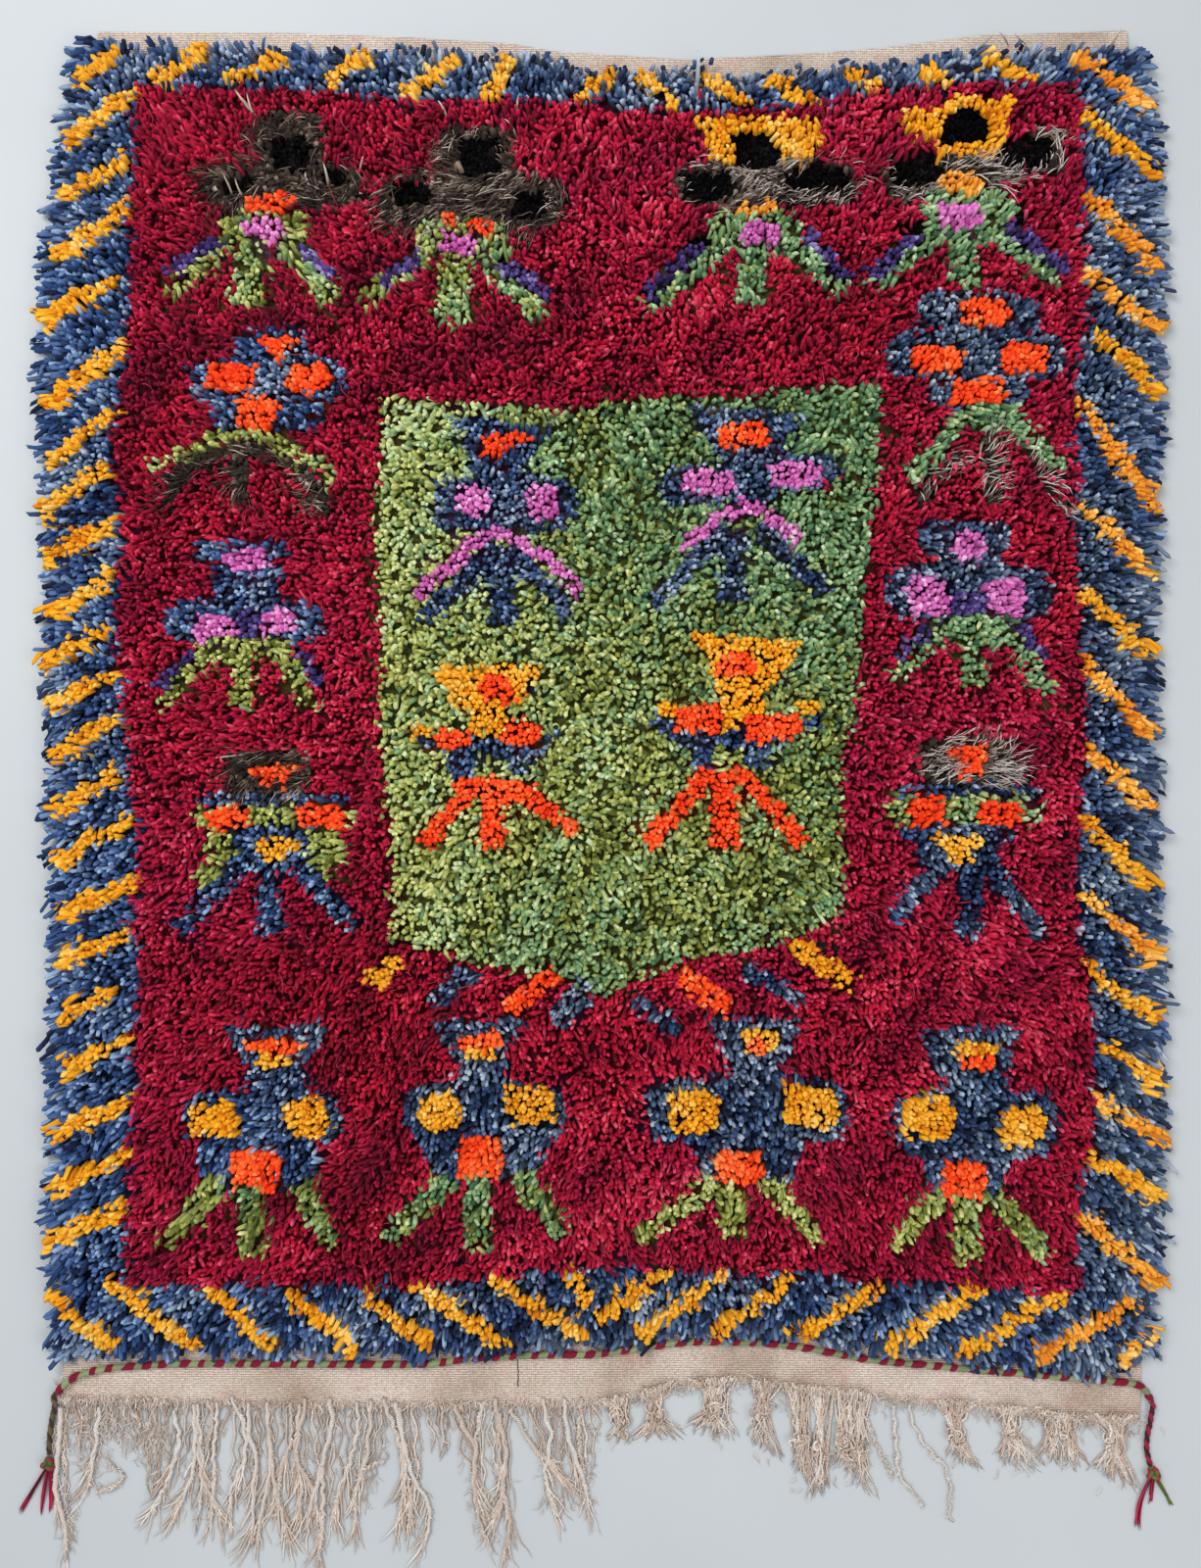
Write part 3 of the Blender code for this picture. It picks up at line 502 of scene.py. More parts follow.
HAIR_PAINTED_ROOT_SHADE = 0.62  # painted root shade: a hair is painted as light at its root as a tuft is here along its length
# Columns: in the middle of the rug, more at its right, more in patches, spread
HAIR_SHADE = (0.56, 0.42, 0.22, 0.3)
HAIR_PATCHES = (12, 40)
HAIR_LOT = (0.5, 0.7, 0.2)  # without patches

# Fine fibres over the field, and single locks
WISPS = 900
WISP_AREA = ((130, 90), (1105, 1310))
WISP_REACH = (9, 24)
WISP_RADII = (0.5, 1.0)
WISP_FOOT = 20.0
WISP_BENDS = (26, MOST_HEIGHT + 1)
WISP_TIPS = (24, 28)
WISP_TURN = 90.0  # for each such distance from NAP_MIDDLE they are drawn outward by 1
WISP_STRAY = 4.0  # beside this at random
WISP_CURL = 0.35
WISP_SHADES = (0.6, 1.0)
LOCK_FOOT = 12.0
LOCK_TIP = 25.0
LOCK_ARCH = 9.0
LOCK_STRAY = 4.0
LOCK_SIDES = 5
LOCK_SHADES = (0.4, 0.9)

BAR_END = 2.0  # how far a figure's bar runs past its two ends
# The bed: a sheet under the tufts that stands for their roots, painted dark as the shade between them
BED_GRID = (38, 44)
BED_TOP = 11.5
BED_LUMPS = 1.2
BED_RIM = 5.0  # its height there
BED_LEVELS = (40, 1400)  # down the chart, where its sides are looked up
BED_INSETS = (29.0, 14.0)  # from the sides and from the ends
BED_PAINTED_SHADE = 0.22  # painted shade: how light the bed is painted beside the yarns' own colours

# Ground weave
WEAVE_THICK = 3.0
RIPPLE = 0.25  # how far the cloth's face rises and dips
WEAVE_COLUMNS = 140
# Rows of its grid, in three lots. Columns: from and to, as shares of the way down, and the number of rows
WEAVE_ROWS = ((0, 0.02, 4), (0.04, 0.95, 24), (0.956, 1, 8))
WEAVE_LEVELS = (23, 1440)  # down the chart, where its sides are looked up
SHARP_DEGREES = 50  # edges that bend further than this look sharp
# Painted shade of the puckers above each tassel: the cloth keeps its shape and is painted darker there,
# over this share of its width and this length
PUCKER_SHADE_SHARE = 0.45
PUCKER_SHADE_LENGTH = 11.0
PUCKER_SHADE_INSET = 3.0  # most of all this far above the skirt's edge
RIB_PERIODS = (4.6, 3.7)  # down and across the cloth
RIB_BENDS = (1.2, 2.4)  # how unevenly each runs
BACK_ROWS = 5.9  # between the rows of dyed knots on the back
WEAVE_BEIGE = (208, 190, 174)
MADDER_STAIN = (214, 158, 150)
# Undyed yarns. For each its colours from dark to light, turns in 100 mm, and how strongly its twist shows,
# both as relief and as painted shade in its grooves
SPUN_YARNS = {
    "rope": (((218, 190, 170), (240, 220, 204), (254, 246, 238)), 20.0, 0.8),
    "warp": (((206, 176, 156), (232, 210, 192), (252, 240, 228)), 16.0, 0.3),
    "fuzz": (((204, 176, 154), (232, 210, 192), (252, 242, 232)), 16.0, 0.1),
}

# Fringe clumps, as on the rug's construction
FRINGE_CLUMPS = (
    # root_from, root_to, tip_from, tip_to, first_length, last_length, sway
    (54, 62, 61, 61, 168, 168, -2),
    (62, 95, 74, 93, 84, 74, 2),
    (97, 143, 104, 140, 44, 58, -2),
    (145, 183, 144, 161, 104, 112, -2),
    (186, 232, 171, 208, 120, 146, -1),
    (234, 288, 230, 288, 124, 142, 2),
    (292, 343, 304, 341, 138, 132, 2),
    (346, 394, 352, 374, 133, 122, 3),
    (397, 425, 408, 428, 130, 156, 4),
    (426, 459, 437, 456, 50, 60, 2),
    (462, 524, 482, 524, 150, 166, -4),
    (528, 606, 552, 609, 132, 118, 6),
    (609, 646, 613, 643, 42, 46, 0),
    (650, 692, 651, 688, 56, 68, -2),
    (714, 754, 709, 749, 52, 64, 2),
    (769, 800, 770, 796, 76, 80, -2),
    (801, 849, 809, 846, 112, 122, 3),
    (853, 891, 860, 893, 98, 106, -2),
    (898, 906, 915, 915, 84, 84, 2),
    (925, 933, 946, 946, 106, 106, -2),
    (953, 1001, 974, 1005, 118, 64, 2),
    (1015, 1050, 1026, 1062, 58, 66, -2),
    (1056, 1106, 1074, 1116, 54, 58, 2),
    (1110, 1170, 1122, 1170, 58, 66, -2),
)
WARP_PITCH = 4.6
WARP_LENGTHS = (0.35, 1.0)  # as shares of the clump's
LATE_TURN = 1.2  # a warp end turns towards its tip by this power of its length
CLUMP_FIBRE_AREA = 55.0
LAST_ROPED_CLUMP = 606  # the clumps beyond it are the tassels below

# Twisted ropes of warp yarns. Columns: radius, then the line's places across and down
ROPES = (
    (2.0, ((173, 1452), (178, 1474), (172, 1501), (162, 1528), (148, 1558))),
    (2.0, ((193, 1446), (194, 1478), (192, 1509), (184, 1532), (170, 1563))),
    (1.9, ((194, 1446), (200, 1509), (204, 1524), (213, 1540), (224, 1569))),
    (1.7, ((197, 1446), (201, 1500), (199, 1540), (192, 1579))),
    (1.6, ((208, 1442), (213, 1454), (209, 1472), (205, 1489))),
    (1.9, ((217, 1444), (216, 1464), (213, 1489), (214, 1516), (208, 1571))),
    (2.0, ((233, 1438), (242, 1454), (246, 1474), (244, 1501), (232, 1528), (230, 1565))),
    (2.1, ((250, 1444), (250, 1472), (258, 1497), (254, 1524), (254, 1558), (252, 1589))),
    (2.1, ((269, 1444), (270, 1464), (272, 1501), (268, 1528), (262, 1558), (257, 1591))),
    (1.9, ((271, 1469), (274, 1505), (278, 1532), (286, 1560), (291, 1587))),
    (1.8, ((293, 1444), (293, 1478), (282, 1513), (279, 1550))),
    (1.8, ((302, 1446), (298, 1489), (304, 1524), (300, 1563))),
    (2.2, ((308, 1440), (300, 1478), (300, 1501), (314, 1524), (320, 1558))),
    (2.4, ((334, 1440), (336, 1460), (330, 1484), (322, 1517), (314, 1544), (308, 1575))),
    (2.0, ((326, 1510), (326, 1552), (322, 1603))),
    (1.9, ((362, 1444), (362, 1468), (353, 1503), (343, 1528), (334, 1569))),
    (2.0, ((376, 1442), (374, 1468), (370, 1501), (360, 1528), (360, 1573))),
    (2.0, ((390, 1440), (400, 1464), (408, 1493), (410, 1519), (404, 1565))),
    (2.2, ((402, 1444), (410, 1480), (420, 1517), (434, 1540), (436, 1565), (426, 1595))),
    (1.9, ((406, 1449), (411, 1500), (417, 1540), (413, 1577))),
    (2.2, ((464, 1446), (476, 1472), (484, 1484), (482, 1520), (488, 1560), (498, 1589))),
    (1.7, ((490, 1446), (486, 1468), (483, 1484))),
    (2.2, ((505, 1440), (509, 1458), (513, 1478), (516, 1493), (513, 1519), (509, 1548), (498, 1579))),
    (1.9, ((507, 1454), (511, 1520), (519, 1560), (513, 1605))),
    (1.9, ((522, 1450), (534, 1468), (544, 1486), (562, 1501), (576, 1517))),
    (2.0, ((554, 1440), (558, 1458), (562, 1474), (558, 1497), (556, 1517), (562, 1540), (570, 1560))),
    (2.2, ((576, 1440), (579, 1468), (585, 1489), (597, 1524), (600, 1552))),
    (1.7, ((593, 1440), (591, 1478), (597, 1517))),
    (1.4, ((885, 1449), (899, 1484), (916, 1518))),
    (1.7, ((916, 1447), (919, 1486), (922, 1513), (934, 1529), (949, 1547))),
    (1.5, ((932, 1447), (943, 1474), (957, 1493), (969, 1505), (975, 1531), (973, 1555), (979, 1564))),
    (2.6, ((56, 1449), (52, 1501), (50, 1528), (57, 1554), (61, 1576), (60, 1605))),
    (2.0, ((95, 1449), (92, 1476), (88, 1500), (84, 1528))),
    (0.6, ((105, 1499), (120, 1516), (111, 1526), (90, 1531))),
    (0.6, ((392, 1498), (373, 1505), (362, 1520))),
)
ROPE_STATIONS = 26
ROPE_ROOT = 7.0  # how far a rope starts above its first place
ROPE_SWELL = (0.85, 1.18)  # from place to place, as shares of the radius
ROPE_THIN = 1.75  # a rope thinner than this ends without parting
ROPE_ENDS = 22  # yarns that a rope parts into
PARTING = (0.4, 0.92)  # where they leave it, as shares of its length
ROPE_END_LENGTHS = (22, 50)
ROPE_FAN = 0.12  # how far each rope's yarns turn aside together
YARN_FAN = 0.22  # and each of them by itself
ROPE_BARBS = 72  # short fibres that stand out of a rope
BARB_TURNS = (0.35, 1.0)  # from the rope's own heading, in radians
BARB_LENGTHS = (3, 7.5)

# Tassels: yarns that meet at a knot and part again. Columns: the first and last root, the knot across
# and down, the first and last tip across, the first and last tip down
TASSELS = (
    (611, 646, 632, 1452, 624, 640, 1481, 1487), (651, 694, 670, 1449, 646, 698, 1483, 1479),
    (704, 728, 729, 1440, 705, 726, 1471, 1479), (728, 754, 735, 1440, 729, 751, 1479, 1483),
    (768, 801, 780, 1446, 769, 803, 1485, 1508), (803, 835, 821, 1479, 813, 839, 1510, 1548),
    (829, 855, 839, 1490, 833, 849, 1548, 1530), (853, 876, 865, 1479, 855, 876, 1510, 1522),
    (872, 893, 880, 1490, 872, 895, 1526, 1542), (955, 1002, 979, 1468, 975, 1006, 1500, 1515),
    (1015, 1057, 1037, 1461, 1024, 1069, 1502, 1518), (1061, 1089, 1080, 1463, 1065, 1091, 1502, 1510),
    (1087, 1110, 1093, 1463, 1095, 1117, 1514, 1510), (1112, 1170, 1145, 1477, 1121, 1169, 1512, 1538),
)
TASSEL_FIBRES = 12  # loose ones on each
TASSEL_PITCH = 1.6  # of its yarns along the skirt
KNOT_SPREAD = (4.4, 3.0)  # of the yarns at the knot, across and down
KNOT_RISE = 5.5  # the yarns lie up to this much higher at the knot
KNOT_REACH = 9.0  # over this distance
TIP_UNEVEN = 11.0  # a yarn may be this much shorter
TIP_FLARE = 4.0  # the tips spread this much further each way
TASSEL_CURLS = 11  # loops of yarn in its knot
CURL_TURN = 4.2  # how far round each goes, in radians
CURL_SIZES = (2.5, 6.5)

# For each kind of strand its radius from least to most
STRAND_RADII = {
    "rope_end": (0.6, 1.05), "barb": (0.45, 0.8), "tassel": (0.9, 1.6), "warp_end": (0.8625, 1.38),
    "fuzz": (0.3, 0.7), "loose_end": (1.1, 1.5),
}
# Its taper. Columns: share of its length, share of that radius
TAPERS = {
    "rope": ((0, 0.85), (0.1, 1.15), (0.6, 1.0), (0.85, 0.75), (1, 0.3)),
    "rope_end": ((0, 1), (0.7, 0.85), (1, 0.2)),
    "barb": ((0, 0.9), (0.5, 0.85), (1, 0)),
    "tassel": ((0, 1), (0.8, 0.85), (1, 0.3)),
    "warp_end": ((0, 1), (0.75, 0.85), (1, 0.25)),
    "fuzz": ((0, 0.8), (0.5, 0.9), (1, 0)),
    "loose_end": ((0, 1), (0.6, 0.95), (1, 0.4)),
}
# The size of its crimp, with the shortest and longest wave, which starts over CRIMP_START from the root
CRIMPS = {
    "rope": (1.2, 14, 30), "rope_end": (0.8, 16, 34), "tassel": (1.9, 14, 30), "warp_end": (2.2, 22, 44),
    "thread": (0.3, 6, 9),
}
CRIMP_START = 12.0
FALL_LENGTH = 11.0  # how soon a strand comes down from the skirt onto the floor
RIPPLE_RISE = 0.4  # and how far it rises again and again on the way
RIPPLE_LENGTH = 13.0

# The one dark thread on the skirt, and the loose fibres
THREAD_ROUTE = ((527, 1393), (528, 1408), (527.5, 1424))
THREAD_HEIGHT = 3.3
THREAD_RADIUS = 0.55
FUZZ_SPREAD = 0.65
FUZZ_LENGTHS = (5, 15)
FUZZ_CURL = 0.4
ON_SKIRT = 3.1  # the height that a fibre lies at
ON_FLOOR = 0.8
EDGE_FIBRES = 1500
# Loose fibres. Columns: across, down, spread across, spread down, number of fibres
FRIZZ = (
    (58, 1470, 5, 14, 60), (80, 1455, 12, 12, 130), (115, 1462, 16, 14, 170), (150, 1470, 12, 14, 110),
    (1030, 1448, 14, 4, 45), (1085, 1450, 20, 4, 70), (1145, 1458, 16, 5, 60), (880, 1442, 12, 4, 30),
    (820, 1438, 16, 5, 40), (62, 1420, 6, 8, 50), (64, 1560, 4, 20, 50), (88, 1500, 5, 16, 50),
    (49, 1476, 3, 8, 50),
)

# The twined line and its two free ends, as on the rug's construction. Columns: across, down
TWINED_ROUTE = (
    (53, 1427), (62, 1417), (76, 1409), (100, 1403), (132, 1400), (208, 1397), (417, 1398), (478, 1392),
    (560, 1388), (598, 1388), (622, 1386), (669, 1379), (709, 1375), (777, 1376), (823, 1381),
    (890, 1393), (972, 1401), (1053, 1408), (1134, 1415), (1162, 1418), (1174, 1424), (1180, 1435),
)
TWINED_HEIGHT = 6.7
TWINED_RADIUS = 4.2
TWINED_PITCH = 19.0
TWINED_SHARE = 0.52  # of the pitch is the first yarn's bead
TWINED_SLANT = 0.09
TWINED_BEADS = ((0.62, 0.6), (0.38, 0.24))  # each yarn's least radius, and what its bead adds
TAIL_RADIUS = 3.0
TAIL_PITCH = 15.0
TAIL_GAP = 0.5  # between the twined line's end and the tail
TAIL_STEP = 6.0  # how far a tail first runs straight on
# Columns: across, down, height of the middle
TAIL_ROUTES = {
    "tail_left": (
        (50, 1440, 5.6), (47, 1453, 3.6), (44.5, 1468, 3.1), (43.5, 1482, 3.1), (43.5, 1492.2, 3.1),
    ),
    "tail_right": (
        (1182, 1446, 5.4), (1181, 1458, 3.5), (1178, 1473, 3.1), (1177.5, 1488, 3.1), (1181, 1503.4, 3.1),
    ),
}
KNOTS = {"tail_left": (43.5, 1501.0), "tail_right": (1183.5, 1511.2)}
# For each loose end: yarn, across and down at its middle and at its tip
LOOSE_ENDS = {
    "tail_left": (
        ("red", 28, 1527, 12, 1555), ("red", 38, 1530, 33, 1557), ("red", 46, 1529, 43, 1553),
    ),
    "tail_right": (
        ("red", 1171, 1542, 1168, 1572), ("red", 1183, 1530, 1181, 1544), ("olive", 1196, 1531, 1205, 1548),
    ),
}
KNOT_MIDDLE = 5.6
KNOT_SCALE = np.array((2.1, 1.9, 2.6))
KNOT_YARN_RADIUS = 2.5
KNOT_YARN_PITCH = 10.0
YARNS_AN_END = 4
LOOSE_BEND_HEIGHT = 2.2
OLIVE_SHADE = 0.12  # the lightest that an olive end is
PLY_COLOURS = {
    # the colours of the two plies, as 0 to 255 on the screen
    "twined_line": ((124, 12, 42), (142, 154, 108)),
    "tail_left": ((66, 44, 36), (104, 92, 66)),
    "tail_right": ((150, 26, 58), (58, 34, 34)),
    "knot_left": ((150, 34, 44), (78, 112, 62)),
    "knot_right": ((162, 34, 44), (96, 112, 58)),
}


def place(spots):
    """Chart places with heights, in millimetres, as points of the frame in metres."""
    return (np.asarray(spots, float) - CHART_MIDDLE) * TO_METRES


def table_at(table, at):
    """A table's second column at values of its first."""
    first, second = zip(*table)
    return np.interp(at, first, second)


def unit(vectors):
    """Vectors of the same headings with a length of 1."""
    return vectors / np.maximum(np.linalg.norm(vectors, axis=-1, keepdims=True), TINY)


def linear(colour):
    """A screen colour from 0 to 255 as a linear colour with alpha."""
    shares = [c / 255 for c in colour]
    return (*(c / 12.92 if c <= 0.04045 else ((c + 0.055) / 1.055) ** 2.4 for c in shares), 1.0)


def smooth_route(points, step):
    """Points about step apart on a smooth curve through these points."""
    points = np.asarray(points, float)
    padded = np.vstack((2 * points[0] - points[1], points, 2 * points[-1] - points[-2]))
    route = []
    for a, b, c, d in zip(padded, padded[1:], padded[2:], padded[3:]):
        count = max(1, round(float(np.linalg.norm(c - b)) / step))
        t = (np.arange(count) / count)[:, None]
        square, cube = 2 * a - 5 * b + 4 * c - d, 3 * b - a - 3 * c + d
        route.append(0.5 * (2 * b + (c - a) * t + square * t**2 + cube * t**3))
    return np.vstack((*route, points[-1]))


def waves(rng, shortest, longest, count=7):
    """A smooth random function of chart places, from about -1 to 1."""
    length = rng.uniform(shortest, longest, count)
    heading, phase = rng.uniform(0, 2 * np.pi, (2, count))
    step_across, step_down = 2 * np.pi / length * np.array((np.cos(heading), np.sin(heading)))

    def at(across, down):
        turns = across[..., None] * step_across + down[..., None] * step_down + phase
        return np.sin(turns).sum(-1) / math.sqrt(count)

    return at


def patch_covers(across, down, left, right, top, bottom):
    """True inside a patch with rounded corners."""
    aside = (2 * across - left - right) / (right - left)
    below = (2 * down - top - bottom) / (bottom - top)
    return aside**4 + below**4 < 1


def bar_covers(across, down, across_from, down_from, across_to, down_to, width_from, width_to):
    """True inside a straight bar whose width changes along it."""
    run, drop = across_to - across_from, down_to - down_from
    length = math.hypot(run, drop)
    along = ((across - across_from) * run + (down - down_from) * drop) / length
    aside = np.abs((across - across_from) * drop - (down - down_from) * run) / length
    width = width_from + (width_to - width_from) * np.clip(along / length, 0, 1)
    return (along > -BAR_END) & (along < length + BAR_END) & (aside < width / 2)


def within(across, down, left, right, top, bottom):
    """True inside an outline given as four edge tables."""
    return (
        (across > table_at(left, down))
        & (across < table_at(right, down))
        & (down > table_at(top, across))
        & (down < table_at(bottom, across))
    )


def yarn_at(across, down):
    """The number in YARNS of the yarn that shows at each chart place."""
    yarn = np.full(across.shape, YARNS.index("indigo"))
    field = within(across, down, FIELD_LEFT, FIELD_RIGHT, FIELD_TOP, FIELD_BOTTOM)
    for name, *ends in BORDER_STROKES:
        yarn[bar_covers(across, down, *ends, *STROKE_WIDTHS) & ~field] = YARNS.index(name)
    yarn[field] = YARNS.index("crimson")
    panel = within(across, down, PANEL_LEFT, PANEL_RIGHT, PANEL_TOP, PANEL_BOTTOM)
    yarn[panel] = YARNS.index("sage")
    for name, *sizes in FIGURES:
        covers = patch_covers if len(sizes) == 4 else bar_covers
        yarn[covers(across, down, *sizes)] = YARNS.index(name)
    return yarn


def nap(across, down, flows):
    """How far each tuft's tip leans from its root, and how near the rim it is, from 0 to 1."""

    def nearness(distance, width):
        return np.clip(1 - distance / width, 0, 1) ** RIM_TURN

    def flow(way):
        broad, small = flows[f"flow_{way}"](across, down), flows[f"swirl_{way}"](across, down)
        return FLOW_LEAN * broad + SWIRL_LEAN * small

    left, right = table_at(PILE_LEFT, down), table_at(PILE_RIGHT, down)
    by_left, by_right = nearness(across - left, RIM_WIDTH), nearness(right - across, RIM_WIDTH)
    by_top = nearness(down - table_at(PILE_TOP, across), END_WIDTH)
    by_bottom = nearness(table_at(PILE_BOTTOM, across) - down, END_WIDTH)
    reach_left = table_at(WEAVE_LEFT, down) + ROOT_INSET - left
    reach_right = right + ROOT_INSET - table_at(WEAVE_RIGHT, down)
    lean_across = FIELD_LEAN * (across - NAP_MIDDLE[0]) / LEAN_SPANS[0]
    lean_down = FIELD_LEAN * (down - NAP_MIDDLE[1]) / LEAN_SPANS[1]
    lean_across += reach_right * by_right - reach_left * by_left + flow("across")
    lean_down += END_REACH * (by_bottom - by_top) + SIDE_DROOP * (by_left + by_right) + flow("down")
    return lean_across, lean_down, np.maximum(np.maximum(by_left, by_right), np.maximum(by_top, by_bottom))


def to_nearest(across, down, size, rng):
    """From each place to the nearest of many points, scattered about size apart."""
    columns, rows = (int(length / size) for length in CHART_SIZE)
    grid_down, grid_across = np.mgrid[0:rows, 0:columns] * size
    stray = rng.uniform(0, size, (2, rows, columns))
    middles = np.stack((grid_across + stray[0], grid_down + stray[1]), axis=-1)
    row, column = (down / size).astype(int), (across / size).astype(int)
    nearest = np.full(across.shape, np.inf)
    offset = np.zeros((*across.shape, 2))
    for row_step in (-1, 0, 1):
        for column_step in (-1, 0, 1):
            beside = np.clip(row + row_step, 0, rows - 1), np.clip(column + column_step, 0, columns - 1)
            away = middles[beside] - np.stack((across, down), axis=-1)
            distance = (away**2).sum(-1)
            closer = distance < nearest
            nearest[closer] = distance[closer]
            offset[closer] = away[closer]
    return offset[..., 0], offset[..., 1]


def tuft_tips(pitch, flows, rng):
    """Chart places of the tips, in staggered rows right out to the pile's ragged outline."""
    across, down = np.meshgrid(*(np.arange(*span, pitch) for span in TIP_SPANS))
    across[1::2] += pitch / 2
    stray = TIP_STRAY * pitch
    across, down = (a.ravel() + rng.uniform(-stray, stray, a.size) for a in (across, down))
    ragged = [RAGGED * flows[name](across, down) for name in ("rim_across", "rim_down")]
    off_corner = np.clip((CORNERS_OFF - np.abs(across - CHART_MIDDLE[0])) / CORNER_WIDTH, CORNER_DIP, 1)
    inward = np.sign(CHART_MIDDLE[1] - down) * END_OVERLAP * off_corner
    tested = across + ragged[0], down + ragged[1] + inward
    kept = within(*tested, PILE_LEFT, PILE_RIGHT, PILE_TOP, PILE_BOTTOM)
    return across[kept], down[kept]


def knotted_tips(yarns, pitch, flows, rng):
    """The tips of the tufts of some yarns, and the yarn of each, which is its knot's."""
    across, down = tuft_tips(pitch, flows, rng)
    knot_across, knot_down = to_nearest(across, down, KNOT_SIZE, rng)
    on_field = within(across, down, FIELD_LEFT, FIELD_RIGHT, FIELD_TOP, FIELD_BOTTOM)
    share = np.where(on_field, *KNOT_SHARES)
    yarn = yarn_at(across + share * knot_across, down + share * knot_down)
    kept = np.isin(yarn, [YARNS.index(name) for name in yarns])
    return across[kept], down[kept], yarn[kept]


def tuft_heights(across, down, yarn, lean, by_rim, flows, rng):
    """How high each tuft's tip is over its foot: less where it leans further, and sagging at the rim."""
    length = TUFT_LENGTH * by_yarn(YARN_LENGTHS, yarn)
    length *= 1 + LUMP_LENGTHS * flows["lump"](across, down) + FINE_LENGTHS * flows["fine"](across, down)
    length *= 1 + rng.normal(0, LENGTH_SPREAD, lean.size)
    height = np.sqrt(length**2 - np.minimum(lean, MOST_LEAN * length) ** 2)
    sag = RIM_SAG * by_rim * rng.uniform(*SAG_RANGE, lean.size)
    return np.minimum(height * (1 - sag), MOST_HEIGHT - TUFT_FOOT)


def tuft_bends(lean_across, lean_down, height, yarn, by_rim, rng):
    """From each tuft's foot to its bend, which is part of the way to its tip and a little to one side."""
    rise = (BEND_RISES[0] + (BEND_RISES[1] - BEND_RISES[0]) * by_rim) * height
    sideways = rng.normal(0, SIDEWAYS, height.size)
    share = by_yarn(BEND_LEANS, yarn)
    across = share * lean_across - sideways * lean_down
    down = share * lean_down + sideways * lean_across
    return np.stack((across, down, rise), axis=-1)


def lay_tufts(yarns, pitch, radius, flows, rng):
    """Every tuft of some yarns, as a dictionary of arrays: its curve's three points and its looks."""
    across, down, yarn = knotted_tips(yarns, pitch, flows, rng)
    count = across.size
    lean_across, lean_down, by_rim = nap(across, down, flows)
    spread = by_yarn(LEAN_SPREADS, yarn)
    lean_across += rng.normal(0, spread)
    lean_down += rng.normal(0, spread)
    foot = np.stack((across - lean_across, down - lean_down, np.full(count, TUFT_FOOT)), axis=-1)
    pull_across, pull_down = to_nearest(across, down, CLUMP_SIZE, rng)
    unevenness = 1 + rng.normal(0, 1, count) * (LEAN_UNEVENNESS + RIM_UNEVENNESS * by_rim)
    pull = by_yarn(CLUMP_PULLS, yarn)
    lean_across = (lean_across + pull * pull_across) * unevenness
    lean_down = (lean_down + pull * pull_down) * unevenness
    lean = np.hypot(lean_across, lean_down)
    height = tuft_heights(across, down, yarn, lean, by_rim, flows, rng)
    lighter, nearer = by_place(across, down, yarn)
    return {
        "foot": foot,
        "bend": foot + tuft_bends(lean_across, lean_down, height, yarn, by_rim, rng),
        "tip": foot + np.stack((lean_across, lean_down, height), axis=-1),
        "yarn": yarn,
        "lean": lean,
        "radius": radius * rng.uniform(*RADIUS_RANGE, count),
        "shade": tuft_shade(across, down, yarn, lighter, flows, rng),
        "lot": dye_lot(across, down, yarn, nearer, flows, rng),
    }


def by_yarn(values, yarn):
    """Each tuft's value out of a table by yarn."""
    return np.array([values.get(name, values["other"]) for name in YARNS])[yarn]


def by_place(across, down, yarn):
    """How much lighter, and how much nearer its second dye lot, SHADED_PLACES makes each tuft."""
    changed = np.zeros((2, *across.shape))
    for name, rows in SHADED_PLACES.items():
        for at_across, at_down, reach, *changes in rows:
            distance = np.hypot(across - at_across, down - at_down) / reach
            near = (yarn == YARNS.index(name)) * np.exp(-(distance**2))
            changed += np.multiply.outer(changes, near)
    return changed


def to_right(across):
    """How far right of the rug's middle places are, as shares of DRIFT_WIDTH."""
    return (across - CHART_MIDDLE[0]) / DRIFT_WIDTH


def tuft_shade(across, down, yarn, lighter, flows, rng):
    """How light each tuft is among its own yarn's shades, from 0 to 1."""
    middle = 0.5 + by_yarn(SHADE_SHIFT, yarn) + PATCH_SHADE * flows["patches"](across, down)
    on_panel = within(across, down, PANEL_LEFT, PANEL_RIGHT, PANEL_TOP, PANEL_BOTTOM)
    on_panel &= yarn == YARNS.index("sage")
    middle += SAGE_FADE * on_panel * (NAP_MIDDLE[0] - across) / FADE_WIDTH + lighter
    return np.clip(middle + rng.normal(0, by_yarn(SHADE_SPREAD, yarn)), 0, 1)


def dye_lot(across, down, yarn, nearer, flows, rng):
    """How far each tuft's yarn is from its first dye lot to its second."""
    patches, bands = flows["patches"](across, down), flows["bands"](across * BAND_SLOWNESS, down)
    lot = LOT_MIDDLE + LOT_WAVES * patches + LOT_WAVES * bands
    lot += by_yarn(LOT_DRIFT, yarn) * to_right(across)
    lot -= by_yarn(LOT_RISE, yarn) * (down - RISE_MIDDLE) / RISE_LENGTH
    return np.clip(lot + nearer + rng.normal(0, by_yarn(LOT_SPREAD, yarn)), 0, 1)


def face_pattern(stations, sides):
    """One strand's corners, the first corner of each face, and its corners' places round and along."""
    k = np.arange(sides)
    after = (k + 1) % sides
    bands = stations - 2
    quads = [
        np.stack((s * sides + k, s * sides + after, (s + 1) * sides + after, (s + 1) * sides + k), 1)
        for s in range(bands)
    ]
    last = bands * sides
    tips = np.stack((last + k, last + after, np.full(sides, last + sides)), 1)
    corners = np.concatenate([part.ravel() for part in (*quads, tips)])
    station = np.concatenate([
        *(np.tile((s, s, s + 1, s + 1), sides) for s in range(bands)),
        np.tile((bands, bands, bands + 1), sides),
    ])
    quad_rounds = np.tile(np.stack((k, k + 1, k + 1, k), 1).ravel(), bands) / sides
    tip_rounds = np.stack((k, k + 1, k + 0.5), 1).ravel() / sides
    starts = np.concatenate((4 * np.arange(last), 4 * last + 3 * np.arange(sides)))
    return corners, starts, station, np.concatenate((quad_rounds, tip_rounds))


